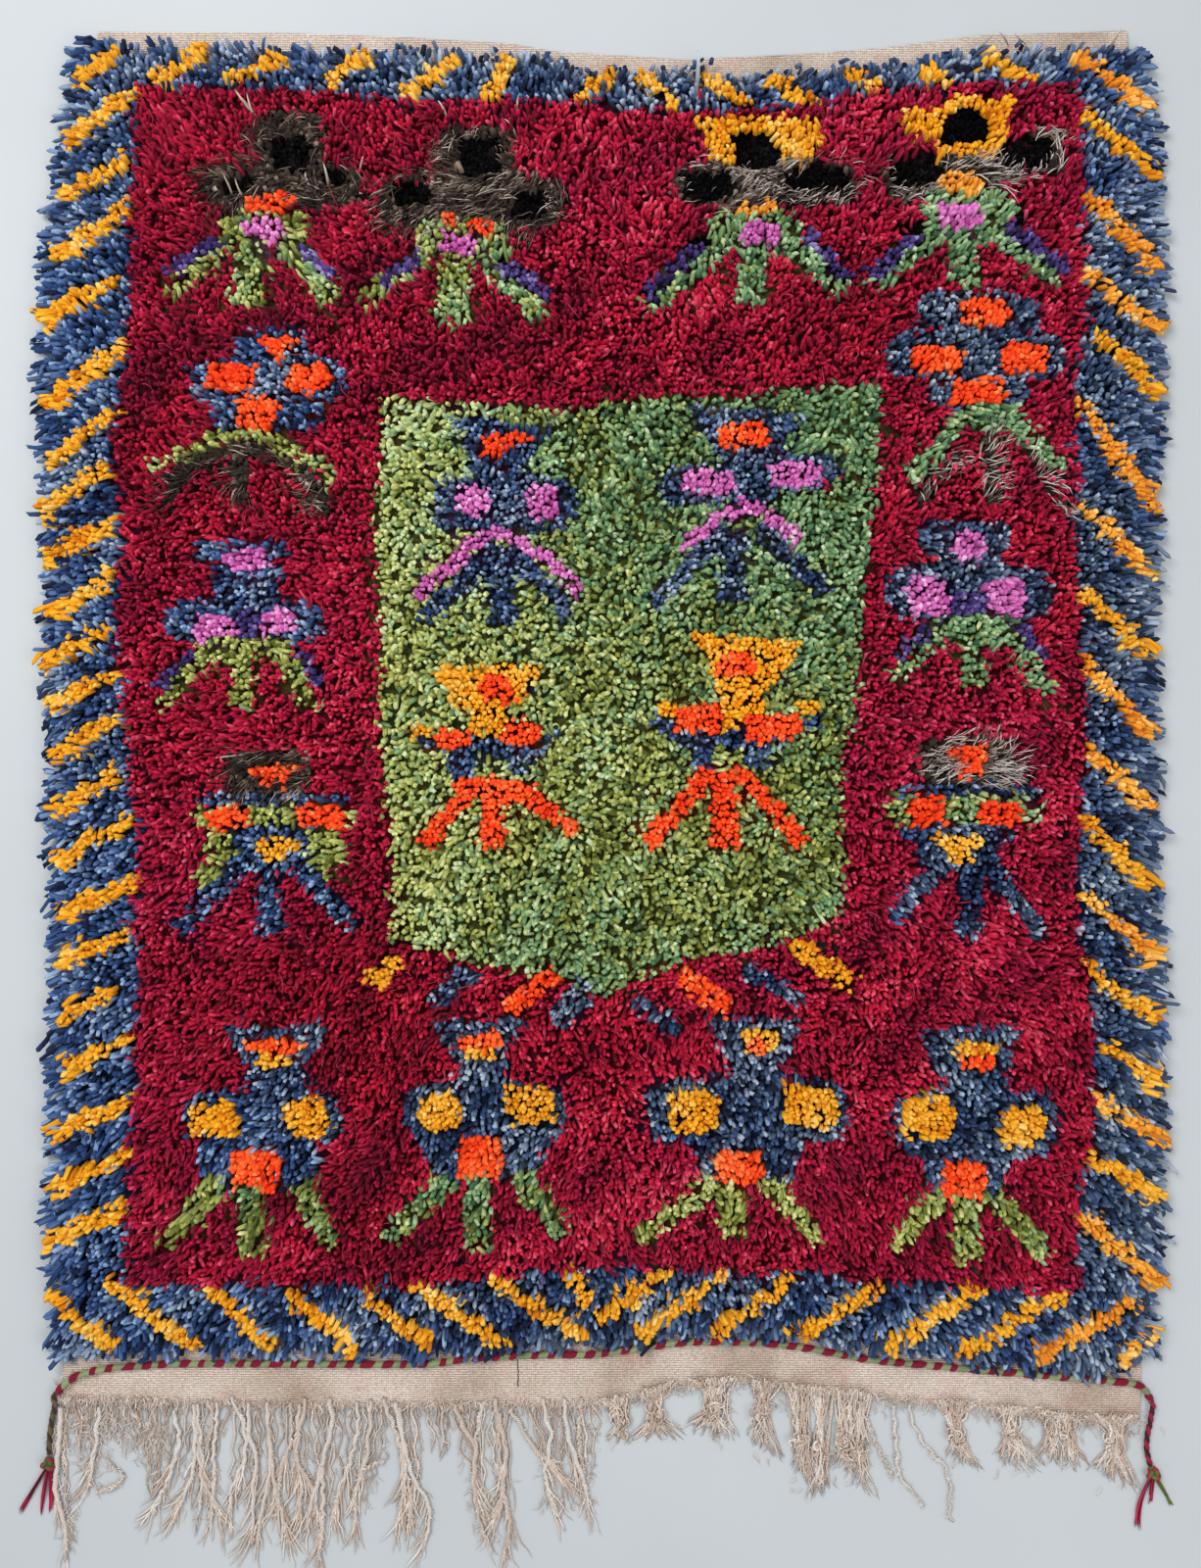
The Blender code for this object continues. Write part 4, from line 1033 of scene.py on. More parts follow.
def array_mesh(name, points, corners, starts, smooth=True):
    """A mesh from arrays: its points, its faces' corners and where each face's corners start."""
    mesh = bpy.data.meshes.new(name)
    mesh.vertices.add(len(points))
    mesh.vertices.foreach_set("co", np.ascontiguousarray(points, np.float32).ravel())
    mesh.loops.add(len(corners))
    mesh.loops.foreach_set("vertex_index", np.ascontiguousarray(corners, np.int32))
    mesh.polygons.add(len(starts))
    mesh.polygons.foreach_set("loop_start", np.ascontiguousarray(starts, np.int32))
    mesh.update(calc_edges=True)
    mesh.polygons.foreach_set("use_smooth", np.full(len(starts), smooth))
    return mesh


def add_uv(mesh, name, across, along):
    """A UV map of this name, from each face corner's two coordinates."""
    layer = mesh.uv_layers.new(name=name)
    layer.data.foreach_set("uv", np.stack((across, along), -1).astype(np.float32).ravel())


def add_values(mesh, name, values):
    """A number for each point, which the material reads by this name."""
    mesh.attributes.new(name, "FLOAT", "POINT").data.foreach_set("value", values.astype(np.float32).ravel())


def add_piece(name, mesh, *materials):
    """An object that moves with the rug."""
    obj = bpy.data.objects.new(name, mesh)
    bpy.context.scene.collection.objects.link(obj)
    for material in materials:
        mesh.materials.append(material)
    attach(obj, "root")
    return obj


def rings_of(centres, radii, sides, rng):
    """The points of every strand: a lumpy ring at each station but the last, and then its tip."""
    count, stations = radii.shape
    heading = unit(np.gradient(centres, axis=1))
    side = unit(np.cross(centres[:, -1] - centres[:, 0], rng.normal(size=(count, 3))))[:, None]
    side = unit(side - heading * (side * heading).sum(-1, keepdims=True))
    third = np.cross(heading, side)
    turn = 2 * np.pi * np.arange(sides)[:, None] / sides
    ring = np.cos(turn) * side[:, :-1, None] + np.sin(turn) * third[:, :-1, None]
    lumpy = 1 + LUMPINESS * rng.normal(size=(count, stations - 1, sides, 1))
    rings = centres[:, :-1, None] + radii[:, :-1, None, None] * lumpy * ring
    return np.concatenate((rings.reshape(count, -1, 3), centres[:, -1:]), axis=1)


def strand_mesh(name, centres, radii, sides, along, shade, lot, rng, reach=1.0):
    """One mesh of many strands. centres is strand, station, point, in metres, from root to tip."""
    count, stations = radii.shape
    points = rings_of(centres, radii, sides, rng)
    corners, starts, station, rounds = face_pattern(stations, sides)
    number = np.arange(count)[:, None]
    all_corners = corners + number * points.shape[1]
    all_starts = starts + number * len(corners)
    mesh = array_mesh(name, points.reshape(-1, 3), all_corners.ravel(), all_starts.ravel())
    lengthways = np.asarray(along)[station]
    turns_along = lengthways * np.reshape(reach, (-1, 1)) + 0 * number
    add_uv(mesh, "Along", np.tile(rounds, count), turns_along.ravel())
    # Each strand has a cell of its own to bake into
    cells = math.ceil(math.sqrt(count))
    column, row = number % cells, number // cells
    in_across, in_along = (CELL_EDGE + (1 - 2 * CELL_EDGE) * a for a in (rounds, lengthways))
    add_uv(mesh, "OFBake", ((column + in_across) / cells).ravel(), ((row + in_along) / cells).ravel())
    on_points = np.append(np.repeat(along[:-1], sides), along[-1])
    add_values(mesh, "along", np.tile(on_points, count))
    add_values(mesh, "shade", np.repeat(shade, len(on_points)))
    add_values(mesh, "lot", np.repeat(lot, len(on_points)))
    return mesh


def curve_at(foot, bend, tip, along):
    """Points at these shares of curves that each have one bend."""
    t = np.asarray(along)[:, None]
    return (1 - t) ** 2 * foot[:, None] + 2 * t * (1 - t) * bend[:, None] + t**2 * tip[:, None]


def make_pile(rng, materials):
    """The pile, a piece for each yarn, upright tufts apart from leaning ones. Returns the last tufts."""
    flows = {name: waves(rng, *lengths) for name, lengths in FLOWS.items()}
    for yarns, pitch, radius, upright_sides, leaning_sides in YARN_COUNTS:
        tufts = lay_tufts(yarns, pitch, radius, flows, rng)
        leaning = tufts["lean"] > LEANING
        kinds = (
            ("upright", ~leaning, upright_sides, UPRIGHT_RINGS),
            ("leaning", leaning, leaning_sides, LEANING_RINGS),
        )
        for yarn in yarns:
            for kind, of_kind, sides, rings in kinds:
                picked = np.flatnonzero((tufts["yarn"] == YARNS.index(yarn)) & of_kind)
                add_tufts(f"{yarn}_{kind}", tufts, picked, sides, rings, materials[yarn], rng)
    return tufts


def add_tufts(name, tufts, picked, sides, rings, material, rng):
    """The picked tufts, in as many pieces as their number asks for."""
    along, widths = np.array(rings).T
    pieces = math.ceil(len(picked) / MOST_TUFTS_A_PIECE)
    for piece in range(pieces):
        some = {key: values[picked[piece::pieces]] for key, values in tufts.items()}
        centres = curve_at(some["foot"], some["bend"], some["tip"], along)
        centres[:, -1, :2] += rng.normal(0, HOOK, (len(centres), 2))
        radii = some["radius"][:, None] * widths
        looks = some["shade"], some["lot"]
        add_wool(f"pile_{name}_{piece + 1}", centres, radii, sides, along, *looks, material, rng)


def add_wool(name, centres, radii, sides, along, shade, lot, material, rng):
    """Strands of the pile as one piece. centres are chart places with heights."""
    mesh = strand_mesh(name, place(centres), radii * MM, sides, along, shade, lot, rng)
    add_piece(name, mesh, material)


def turned(leans):
    """Leans turned a quarter round."""
    return np.stack((-leans[:, 1], leans[:, 0]), -1)


def hair_curves(tufts, along, rng):
    """Each hair's foot, and its places at these shares of its length."""
    hairy = rng.choice(np.flatnonzero(tufts["yarn"] == YARNS.index("goat")), HAIRS)
    foot = tufts["tip"][hairy] + rng.normal(0, HAIR_SCATTER, (HAIRS, 3)) * (1, 1, 0)
    foot[:, 2] = rng.uniform(*HAIR_FEET, HAIRS)
    heading = np.where(foot[:, 0] < CHART_MIDDLE[0], *HAIR_HEADINGS) + rng.normal(0, HAIR_SPREAD, HAIRS)
    heading += HAIR_SWIRL * waves(rng, *HAIR_SWIRLS)(foot[:, 0], foot[:, 1])
    lean = np.stack((np.cos(heading), np.sin(heading) + HAIR_DROOP), -1)
    lean *= rng.uniform(*HAIR_REACH, (HAIRS, 1))
    lean[yarn_at(foot[:, 0] + lean[:, 0], foot[:, 1] + lean[:, 1]) == YARNS.index("black")] *= OVER_BLACK
    tip = np.column_stack((foot[:, :2] + lean, rng.uniform(*HAIR_TIPS, HAIRS)))
    bend = np.column_stack((foot[:, :2] + lean * HAIR_BEND, rng.uniform(*HAIR_BENDS, HAIRS)))
    centres = curve_at(foot, bend, tip, along)
    turns, phase = rng.uniform(*HAIR_TURNS, (HAIRS, 1)), rng.uniform(0, ANY_PHASE, (HAIRS, 1))
    curl = np.sin(2 * np.pi * turns * along + phase)
    centres[..., :2] += turned(lean)[:, None] * (HAIR_CURL * along * curl)[..., None]
    return foot, centres


def make_hair(tufts, rng, material):
    """Long goat hair, which curls over the brown patches and past their edges."""
    along, widths = np.array(HAIR_RINGS).T
    foot, centres = hair_curves(tufts, along, rng)
    drift = to_right(foot[:, 0])
    radii = rng.uniform(*HAIR_RADII, (HAIRS, 1)) * widths
    middle, rightward, in_patches, spread = HAIR_SHADE
    shade = middle + rightward * drift + in_patches * waves(rng, *HAIR_PATCHES)(foot[:, 0], foot[:, 1])
    shade = np.clip(shade + rng.normal(0, spread, HAIRS), 0, 1)
    middle, rightward, spread = HAIR_LOT
    lot = np.clip(middle + rightward * drift + rng.normal(0, spread, HAIRS), 0, 1)
    # The hairs' along values start part of the way up, so that they get less of the painted root shade than
    # the tufts
    add_wool("goat_hair", centres, radii, 3, HAIR_PAINTED_ROOT_SHADE + (1 - HAIR_PAINTED_ROOT_SHADE) * along, shade, lot, material, rng)


def make_wisps(rng, material):
    """Fine long fibres that lie over the crimson field."""
    spots = rng.uniform(*WISP_AREA, (WISPS * 2, 2))
    spots = spots[yarn_at(spots[:, 0], spots[:, 1]) == YARNS.index("crimson")][:WISPS]
    count = len(spots)
    outward = (spots - NAP_MIDDLE) / WISP_TURN
    lean = unit(outward + rng.normal(0, WISP_STRAY, (count, 2))) * rng.uniform(*WISP_REACH, (count, 1))
    sideways = turned(lean) * rng.normal(0, WISP_CURL, (count, 1))
    foot = np.column_stack((spots, np.full(count, WISP_FOOT)))
    bend = np.column_stack((spots + lean * 0.5 + sideways, rng.uniform(*WISP_BENDS, count)))
    tip = np.column_stack((spots + lean, rng.uniform(*WISP_TIPS, count)))
    along, widths = np.array(WISP_RINGS).T
    radii = rng.uniform(*WISP_RADII, (count, 1)) * widths
    centres = curve_at(foot, bend, tip, along)
    shade, lot = rng.uniform(*WISP_SHADES, count), rng.random(count)
    add_wool("field_wisps", centres, radii, 3, along, shade, lot, material, rng)


def make_stray_locks(rng, materials):
    """Single locks that lie over the pile, one piece for each yarn among them."""
    along = np.linspace(0, 1, len(LOCK_WIDTHS))
    for yarn in sorted({row[0] for row in STRAY_LOCKS}):
        rows = np.array([row[1:] for row in STRAY_LOCKS if row[0] == yarn])
        count = len(rows)
        foot = np.column_stack((rows[:, :2], np.full(count, LOCK_FOOT)))
        tip = np.column_stack((rows[:, 2:4], np.full(count, LOCK_TIP)))
        arch = np.column_stack((rng.normal(0, LOCK_STRAY, (count, 2)), np.full(count, LOCK_ARCH)))
        centres = curve_at(foot, (foot + tip) / 2 + arch, tip, along)
        shade, lot = rng.uniform(*LOCK_SHADES, count), rng.random(count)
        radii = rows[:, 4:] * LOCK_WIDTHS
        add_wool(f"locks_{yarn}", centres, radii, LOCK_SIDES, along, shade, lot, materials[yarn], rng)


def slab_mesh(name, plan, over, under):
    """A closed slab over a grid of chart places, with a height over and under each."""
    rows, columns = plan.shape[:2]
    number = np.arange(rows * columns).reshape(rows, columns)
    a, b, c, d = number[:-1, :-1], number[1:, :-1], number[1:, 1:], number[:-1, 1:]
    upper = np.stack((a, b, c, d), -1).reshape(-1, 4)
    lower = np.stack((d, c, b, a), -1).reshape(-1, 4) + rows * columns
    rim = np.concatenate((number[:-1, 0], number[-1, :-1], number[:0:-1, -1], number[0, :0:-1]))
    after = np.roll(rim, -1)
    sides = np.stack((rim, rim + rows * columns, after + rows * columns, after), -1)
    faces = np.concatenate((upper, lower, sides))
    points = np.concatenate([np.dstack((plan, height)).reshape(-1, 3) for height in (over, under)])
    mesh = array_mesh(name, place(points), faces.ravel(), 4 * np.arange(len(faces)))
    mesh.set_sharp_from_angle(angle=math.radians(SHARP_DEGREES))
    return mesh


def plan_grid(u, v, left, right, top, bottom, levels, insets=(0.0, 0.0)):
    """Chart places at shares u across and v down an outline given as four edge tables."""
    u, v = np.meshgrid(u, v)
    level = levels[0] + (levels[1] - levels[0]) * v
    low, high = table_at(left, level) + insets[0], table_at(right, level) - insets[0]
    across = low + (high - low) * u
    first, last = table_at(top, across) + insets[1], table_at(bottom, across) - insets[1]
    return np.dstack((across, first + (last - first) * v))


def make_bed(rng, material):
    """The pile's depth, where its yarns stand close together: a dark sheet in the yarns' colours, in
    painted shade.
    """
    u, v = (np.linspace(0, 1, count) for count in BED_GRID)
    plan = plan_grid(u, v, PILE_LEFT, PILE_RIGHT, PILE_TOP, PILE_BOTTOM, BED_LEVELS, BED_INSETS)
    over = BED_TOP + BED_LUMPS * waves(rng, 40, 90)(plan[..., 0], plan[..., 1])
    over[[0, -1]] = over[:, [0, -1]] = BED_RIM
    mesh = slab_mesh("pile_bed_painted_shade", plan, over, np.full(over.shape, TUFT_FOOT))
    yarn = yarn_at(plan[..., 0], plan[..., 1])
    # Gold and amber places take indigo's colour, so that the painted shade between their tufts is dark
    # blue, not brown
    yarn[np.isin(yarn, (YARNS.index("gold"), YARNS.index("amber")))] = YARNS.index("indigo")
    add_yarn_colours(mesh, yarn)
    bed = add_piece("pile_bed_painted_shade", mesh, material)
    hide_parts("pile")


def add_yarn_colours(mesh, yarn, bare=None):
    """Gives a slab's places their yarns' colours, above and below, with beige where no yarn is tied."""
    colours = np.array([linear(DYES[name][0][1]) for name in YARNS])[yarn]
    if bare is not None:
        colours[bare] = linear(WEAVE_BEIGE)
    layer = mesh.attributes.new("yarn_colour", "FLOAT_COLOR", "POINT")
    layer.data.foreach_set("color", np.tile(colours.reshape(-1, 4), (2, 1)).astype(np.float32).ravel())


def pucker_painted_shade(across, down):
    """How much painted shade of a pucker the cloth gets above each tassel, from 0 to 1."""
    drawn = np.zeros(across.shape)
    for first, last, *rest in TASSELS:
        middle = (first + last) / 2
        aside = (across - middle) / (PUCKER_SHADE_SHARE * (last - first))
        below = (down - float(table_at(SKIRT_EDGE, middle)) + PUCKER_SHADE_INSET) / PUCKER_SHADE_LENGTH
        drawn = np.maximum(drawn, np.exp(-(aside**2) - below**2))
    return drawn


def make_weave(rng, material):
    """The woven ground: bare at the top and in the skirt, with the pile's knots showing on its back."""
    u = np.linspace(0, 1, WEAVE_COLUMNS)
    v = np.concatenate([np.linspace(*span) for span in WEAVE_ROWS])
    plan = plan_grid(u, v, WEAVE_LEFT, WEAVE_RIGHT, WEAVE_TOP, SKIRT_EDGE, WEAVE_LEVELS)
    ripple = waves(rng, 25, 80)(plan[..., 0], plan[..., 1])
    over = WEAVE_THICK - RIPPLE + RIPPLE * np.clip(ripple, -1, 1)
    mesh = slab_mesh("ground_weave_cloth", plan, over, np.zeros(over.shape))
    # Painted shade of the puckers above the tassels, kept in the attribute named drawn
    add_values(mesh, "drawn", np.tile(pucker_painted_shade(plan[..., 0], plan[..., 1]).ravel(), 2))
    bare = ~within(plan[..., 0], plan[..., 1], WEAVE_LEFT, WEAVE_RIGHT, PILE_TOP, PILE_BOTTOM)
    add_yarn_colours(mesh, yarn_at(plan[..., 0], plan[..., 1]), bare)
    cloth = add_piece("ground_weave_cloth", mesh, material)
    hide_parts("ground_weave")
    return cloth


def line_at(points, shares):
    """Places at shares of the length of a smooth line through these points."""
    route = smooth_route(points, 1.0)
    travelled = np.append(0, np.cumsum(np.linalg.norm(np.diff(route, axis=0), axis=1)))
    return np.stack([np.interp(shares * travelled[-1], travelled, values) for values in route.T], -1)


def drape(plan, low, rise, rng):
    """Heights for strands that leave the skirt's edge and come down onto the floor."""
    fallen = np.linalg.norm(plan - plan[:, :1], axis=-1)
    phase = rng.uniform(0, 2 * np.pi, (len(plan), 1))
    ripple = RIPPLE_RISE * np.sin(fallen / RIPPLE_LENGTH + phase) ** 2
    return low + rise * np.exp(-fallen / FALL_LENGTH) + ripple


def crimp(kind, plan, rng):
    """Strands with small waves across and along them, none at their roots."""
    amplitude, shortest, longest = CRIMPS[kind]
    count = len(plan)
    gone = np.linalg.norm(plan - plan[:, :1], axis=-1)[..., None]
    wave_length = rng.uniform(shortest, longest, (count, 1, 2))
    phase = rng.uniform(0, 2 * np.pi, (count, 1, 2))
    swing = amplitude * rng.uniform(0.5, 1.5, (count, 1, 1)) * np.minimum(gone / CRIMP_START, 1) * (1, 0.5)
    return plan + swing * np.sin(2 * np.pi * gone / wave_length + phase)


def tapered(kind, count, t, rng):
    """Radii for each of a kind of strands at shares t of its length."""
    return rng.uniform(*STRAND_RADII[kind], (count, 1)) * table_at(TAPERS[kind], t)


def add_strands(name, plan, height, radii, material, sides, rng, shade=(0, 1)):
    """Strands on the floor or the skirt as one piece, with their length in their own coordinates."""
    centres = place(np.dstack((plan, height)))
    reach = np.linalg.norm(np.diff(centres, axis=1), axis=-1).sum(-1) / YARN_REPEAT
    along = np.linspace(0, 1, plan.shape[1])
    shades, lots = rng.uniform(*shade, len(plan)), rng.random(len(plan))
    mesh = strand_mesh(name, centres, radii * MM, sides, along, shades, lots, rng, reach)
    return add_piece(name, mesh, material)


def make_ropes(rng, material):
    """The twisted ropes of the fringe."""
    t = np.linspace(0, 1, ROPE_STATIONS)
    roots = [(points[0][0], points[0][1] - ROPE_ROOT) for radius, points in ROPES]
    plan = np.array([line_at((root, *points), t) for root, (radius, points) in zip(roots, ROPES)])
    thick = np.array([[radius] for radius, points in ROPES])
    plan = crimp("rope", plan, rng)
    radii = thick * table_at(TAPERS["rope"], t) * rng.uniform(*ROPE_SWELL, plan.shape[:2])
    height = drape(plan, 1.4 * thick, 2.6, rng)
    return add_strands("fringe_ropes", plan, height, radii, material, 6, rng, (0.3, 1))


def make_rope_ends(rng, material):
    """The yarns that each rope parts into."""
    t = np.linspace(0, 1, 7)
    strands = []
    for radius, points in ROPES:
        if radius < ROPE_THIN:
            continue
        onward = unit(np.subtract(points[-1], points[-2]))
        across_it = np.array((-onward[1], onward[0]))
        fan = rng.normal(0, ROPE_FAN)
        for start in rng.uniform(*PARTING, ROPE_ENDS):
            root = line_at(points, np.array([start]))[0] + rng.normal(0, 1.0, 2)
            way = rng.normal(fan, YARN_FAN)
            reach = t[:, None] * rng.uniform(*ROPE_END_LENGTHS)
            strands.append(root + onward * reach + across_it * way * reach * (0.4 + 0.6 * t[:, None]))
    plan = crimp("rope_end", np.array(strands), rng)
    height = rng.uniform(0.9, 3.6, (len(plan), 1)) * (1 - 0.6 * t) + 0.8
    radii = tapered("rope_end", len(plan), t, rng)
    return add_strands("fringe_rope_ends", plan, height, radii, material, 3, rng)


def make_rope_barbs(rng, material):
    """Short fibres that stand out of the ropes on both sides and point down them."""
    t = np.array((0.0, 0.5, 1.0))
    plan, height = [], []
    for radius, points in ROPES:
        shares = rng.uniform(0.04, 0.96, ROPE_BARBS)
        onward = unit(line_at(points, shares + 0.02) - line_at(points, shares - 0.02))
        turn = rng.choice((-1, 1), ROPE_BARBS) * rng.uniform(*BARB_TURNS, ROPE_BARBS)
        way = onward * np.cos(turn)[:, None] + turned(onward) * np.sin(turn)[:, None]
        reach = rng.uniform(*BARB_LENGTHS, (ROPE_BARBS, 1, 1)) * t[:, None]
        plan.append(line_at(points, shares)[:, None] + way[:, None] * reach)
        height.append(rng.uniform(1.6, 4.6, (ROPE_BARBS, 1)) + 0.9 * np.sin(np.pi * t) - 0.7 * t)
    plan, height = np.concatenate(plan), np.concatenate(height)
    radii = tapered("barb", len(plan), t, rng)
    return add_strands("fringe_rope_barbs", plan, height, radii, material, 3, rng, (0.3, 1))


def tassel_lines(tassel, t, rng):
    """A tassel's yarns, from the skirt through its knot to their tips, and then the curls of the knot."""
    root_from, root_to, knot_across, knot_down, tip_from, tip_to, tip_first, tip_last = tassel
    for share in np.arange(0, 1, TASSEL_PITCH / (root_to - root_from)):
        root = root_from + (root_to - root_from) * share
        knot = np.array((knot_across, knot_down)) + rng.normal(0, KNOT_SPREAD)
        tip_down = tip_first + (tip_last - tip_first) * share - rng.uniform(0, TIP_UNEVEN)
        tip_across = tip_from - TIP_FLARE + (tip_to - tip_from + 2 * TIP_FLARE) * share + rng.normal(0, 3.0)
        top = (root, float(table_at(SKIRT_EDGE, root)) - rng.uniform(3, 8))
        yield line_at((top, knot, (tip_across, tip_down)), t), knot
    for _ in range(TASSEL_CURLS):
        middle = np.array((knot_across, knot_down)) + rng.normal(0, (5, 5))
        angle = rng.uniform(0, 2 * np.pi) + np.linspace(0, CURL_TURN, 5)
        loop = np.column_stack((np.cos(angle), np.sin(angle))) * rng.uniform(*CURL_SIZES, 2)
        yield line_at(middle + loop, t), middle


def make_tassels(rng, material):
    """Tassels: each has its yarns drawn in to a knot under the skirt, and spread out below it."""
    t = np.linspace(0, 1, 10)
    strands, knots = zip(*(line for tassel in TASSELS for line in tassel_lines(tassel, t, rng)))
    plan = crimp("tassel", np.array(strands), rng)
    from_knot = np.linalg.norm(plan - np.array(knots)[:, None], axis=-1)
    height = drape(plan, 1.4, 2.3, rng)
    height += rng.uniform(0, KNOT_RISE, (len(plan), 1)) * np.exp(-((from_knot / KNOT_REACH) ** 2))
    radii = tapered("tassel", len(plan), t, rng)
    return add_strands("fringe_tassels", plan, height, radii, material, 3, rng)


def roped_clumps():
    """The rows of FRINGE_CLUMPS that hold ropes."""
    return [clump for clump in FRINGE_CLUMPS if clump[1] <= LAST_ROPED_CLUMP]


def make_warp_ends(rng, material):
    """Single crimped warp yarns, which lie under and between the ropes."""
    t = np.linspace(0, 1, 11)
    strands = []
    for root_from, root_to, tip_from, tip_to, first, last, sway in roped_clumps():
        count = max(3, round((root_to - root_from) / WARP_PITCH))
        share = (np.arange(count) + rng.uniform(0.1, 0.9, count)) / count
        length = ((first + (last - first) * share) * rng.uniform(*WARP_LENGTHS, count))[:, None]
        root = (root_from + (root_to - root_from) * share)[:, None]
        tip = (tip_from + (tip_to - tip_from) * share + rng.normal(0, 3, count))[:, None]
        across = root + (tip - root) * t**LATE_TURN + sway * np.sin(np.pi * t)
        down = table_at(SKIRT_EDGE, root) + length * t - rng.uniform(2, 8, (count, 1)) * (1 - t)
        strands.append(np.dstack((across, down)))
    plan = crimp("warp_end", np.concatenate(strands), rng)
    radii = tapered("warp_end", len(plan), t, rng)
    height = drape(plan, 1.3, 2.3, rng)
    yarns = add_strands("fringe_warp_ends", plan, height, radii, material, 3, rng, (0, 0.9))
    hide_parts("fringe")
    return yarns


def fibre_spots(rng):
    """Where loose fibres start: on the skirt's edge, between the warp ends and on the tassels."""
    edge = rng.uniform(58, 1168, EDGE_FIBRES)
    spots = [np.column_stack((edge, table_at(SKIRT_EDGE, edge) - rng.uniform(-2, 9, EDGE_FIBRES)))]
    for root_from, root_to, tip_from, tip_to, first, last, sway in roped_clumps():
        count = int((root_to - root_from) * (first + last) / 2 / CLUMP_FIBRE_AREA)
        share, t = rng.random((2, count))
        root = root_from + (root_to - root_from) * share
        tip = tip_from + (tip_to - tip_from) * share
        across = root + (tip - root) * t**LATE_TURN + sway * np.sin(np.pi * t)
        down = table_at(SKIRT_EDGE, root) + (first + (last - first) * share) * t * 0.9 - 6
        spots.append(np.column_stack((across, down)))
    for root_from, root_to, knot_across, knot_down, tip_from, tip_to, tip_first, tip_last in TASSELS:
        middle = ((knot_across + (tip_from + tip_to) / 2) / 2, (knot_down + (tip_first + tip_last) / 2) / 2)
        spread = ((tip_to - tip_from) / 3, (tip_last - knot_down) / 3)
        spots.append(middle + rng.uniform(-1.3, 1.3, (TASSEL_FIBRES, 2)) * spread)
    for across, down, spread_across, spread_down, count in FRIZZ:
        spots.append(rng.normal((across, down), (spread_across, spread_down), (count, 2)))
    return np.concatenate(spots)


def make_drawn_thread(rng, material):
    """One dark thread that runs down the skirt."""
    t = np.linspace(0, 1, 12)
    plan = crimp("thread", line_at(THREAD_ROUTE, t)[None], rng)
    height, radii = (np.full((1, len(t)), size) for size in (THREAD_HEIGHT, THREAD_RADIUS))
    return add_strands("skirt_dark_thread", plan, height, radii, material, 4, rng, (0.1, 0.2))


def make_fuzz(rng, material):
    """Loose fibres of the fringe and of the skirt's edge."""
    spots = fibre_spots(rng)
    count = len(spots)
    t = np.array((0.0, 0.5, 1.0))
    heading = rng.normal(np.pi / 2, FUZZ_SPREAD, count)
    lean = np.column_stack((np.cos(heading), np.sin(heading))) * rng.uniform(*FUZZ_LENGTHS, (count, 1))
    sideways = turned(lean) * rng.normal(0, FUZZ_CURL, (count, 1))
    on_skirt = spots[:, 1] < table_at(SKIRT_EDGE, spots[:, 0])
    low = np.where(on_skirt, ON_SKIRT, ON_FLOOR)
    foot = np.column_stack((spots, low + rng.uniform(0.2, 1.6, count)))
    bend = np.column_stack((spots + lean / 2 + sideways, low + rng.uniform(1, 4.5, count)))
    tip = np.column_stack((spots + lean, low + rng.uniform(0, 1.8, count)))
    centres = curve_at(foot, bend, tip, t)
    radii = tapered("fuzz", count, t, rng)
    return add_strands("fringe_fuzz", centres[..., :2], centres[..., 2], radii, material, 3, rng)


def twisted(turn, turns):
    """Two plies twisted together: how far out the surface is, and which ply it is by its sign."""
    return 0.72 + 0.28 * np.abs(np.cos(turn - turns)), np.cos(turn - turns)


def twined(turn, turns):
    """Two yarns twined over the warp, a long bead of the first and a short bead of the second by turns."""
    uneven = 0.1 * np.sin(0.37 * turns) + 0.07 * np.sin(0.83 * turns + 1)
    phase = (turns / (2 * np.pi) + uneven + TWINED_SLANT * np.cos(turn)) % 1
    first = phase < TWINED_SHARE
    share = np.where(first, phase / TWINED_SHARE, (phase - TWINED_SHARE) / (1 - TWINED_SHARE))
    swell = np.sin(np.pi * share)
    low, high = (np.where(first, *sizes) for sizes in TWINED_BEADS)
    return low + high * np.sqrt(swell), np.where(first, swell, -swell)


def twisted_tube(name, path, radius, pitch, surface=twisted, sides=12):
    """A cord of two yarns along a path in metres."""
    heading = unit(np.gradient(path, axis=0))
    side = unit(np.cross(heading, (0, 0, 1)))
    third = np.cross(side, heading)
    travelled = np.append(0, np.cumsum(np.linalg.norm(np.diff(path, axis=0), axis=1)))
    twist = 2 * np.pi * travelled[:, None] / pitch
    turn = 2 * np.pi * np.arange(sides) / sides
    reach, ply = surface(turn, twist)
    reach = reach * radius
    ring = np.cos(turn)[None, :, None] * side[:, None] + np.sin(turn)[None, :, None] * third[:, None]
    points = (path[:, None] + reach[..., None] * ring).reshape(-1, 3)
    k = np.arange(sides)
    first = np.arange(len(path) - 1)[:, None] * sides
    after = (k + 1) % sides
    quads = np.stack((first + k, first + k + sides, first + after + sides, first + after), -1)
    last = (len(path) - 1) * sides
    corners = np.concatenate((quads.ravel(), k, last + k[::-1]))
    starts = np.concatenate((4 * np.arange(quads.size // 4), quads.size + sides * np.arange(2)))
    mesh = array_mesh(name, points, corners, starts)
    add_values(mesh, "ply", ply)
    return mesh


def make_twined_line(material):
    """The raised red and green line twined across the skirt. Returns its points in metres."""
    route = [(across, down, TWINED_HEIGHT) for across, down in TWINED_ROUTE]
    points = smooth_route(place(route), 1.6 * MM)
    mesh = twisted_tube("twined_line", points, TWINED_RADIUS * MM, TWINED_PITCH * MM, twined, 10)
    line = add_piece("twined_line", mesh, material)
    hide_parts("twined_cord")
    return points


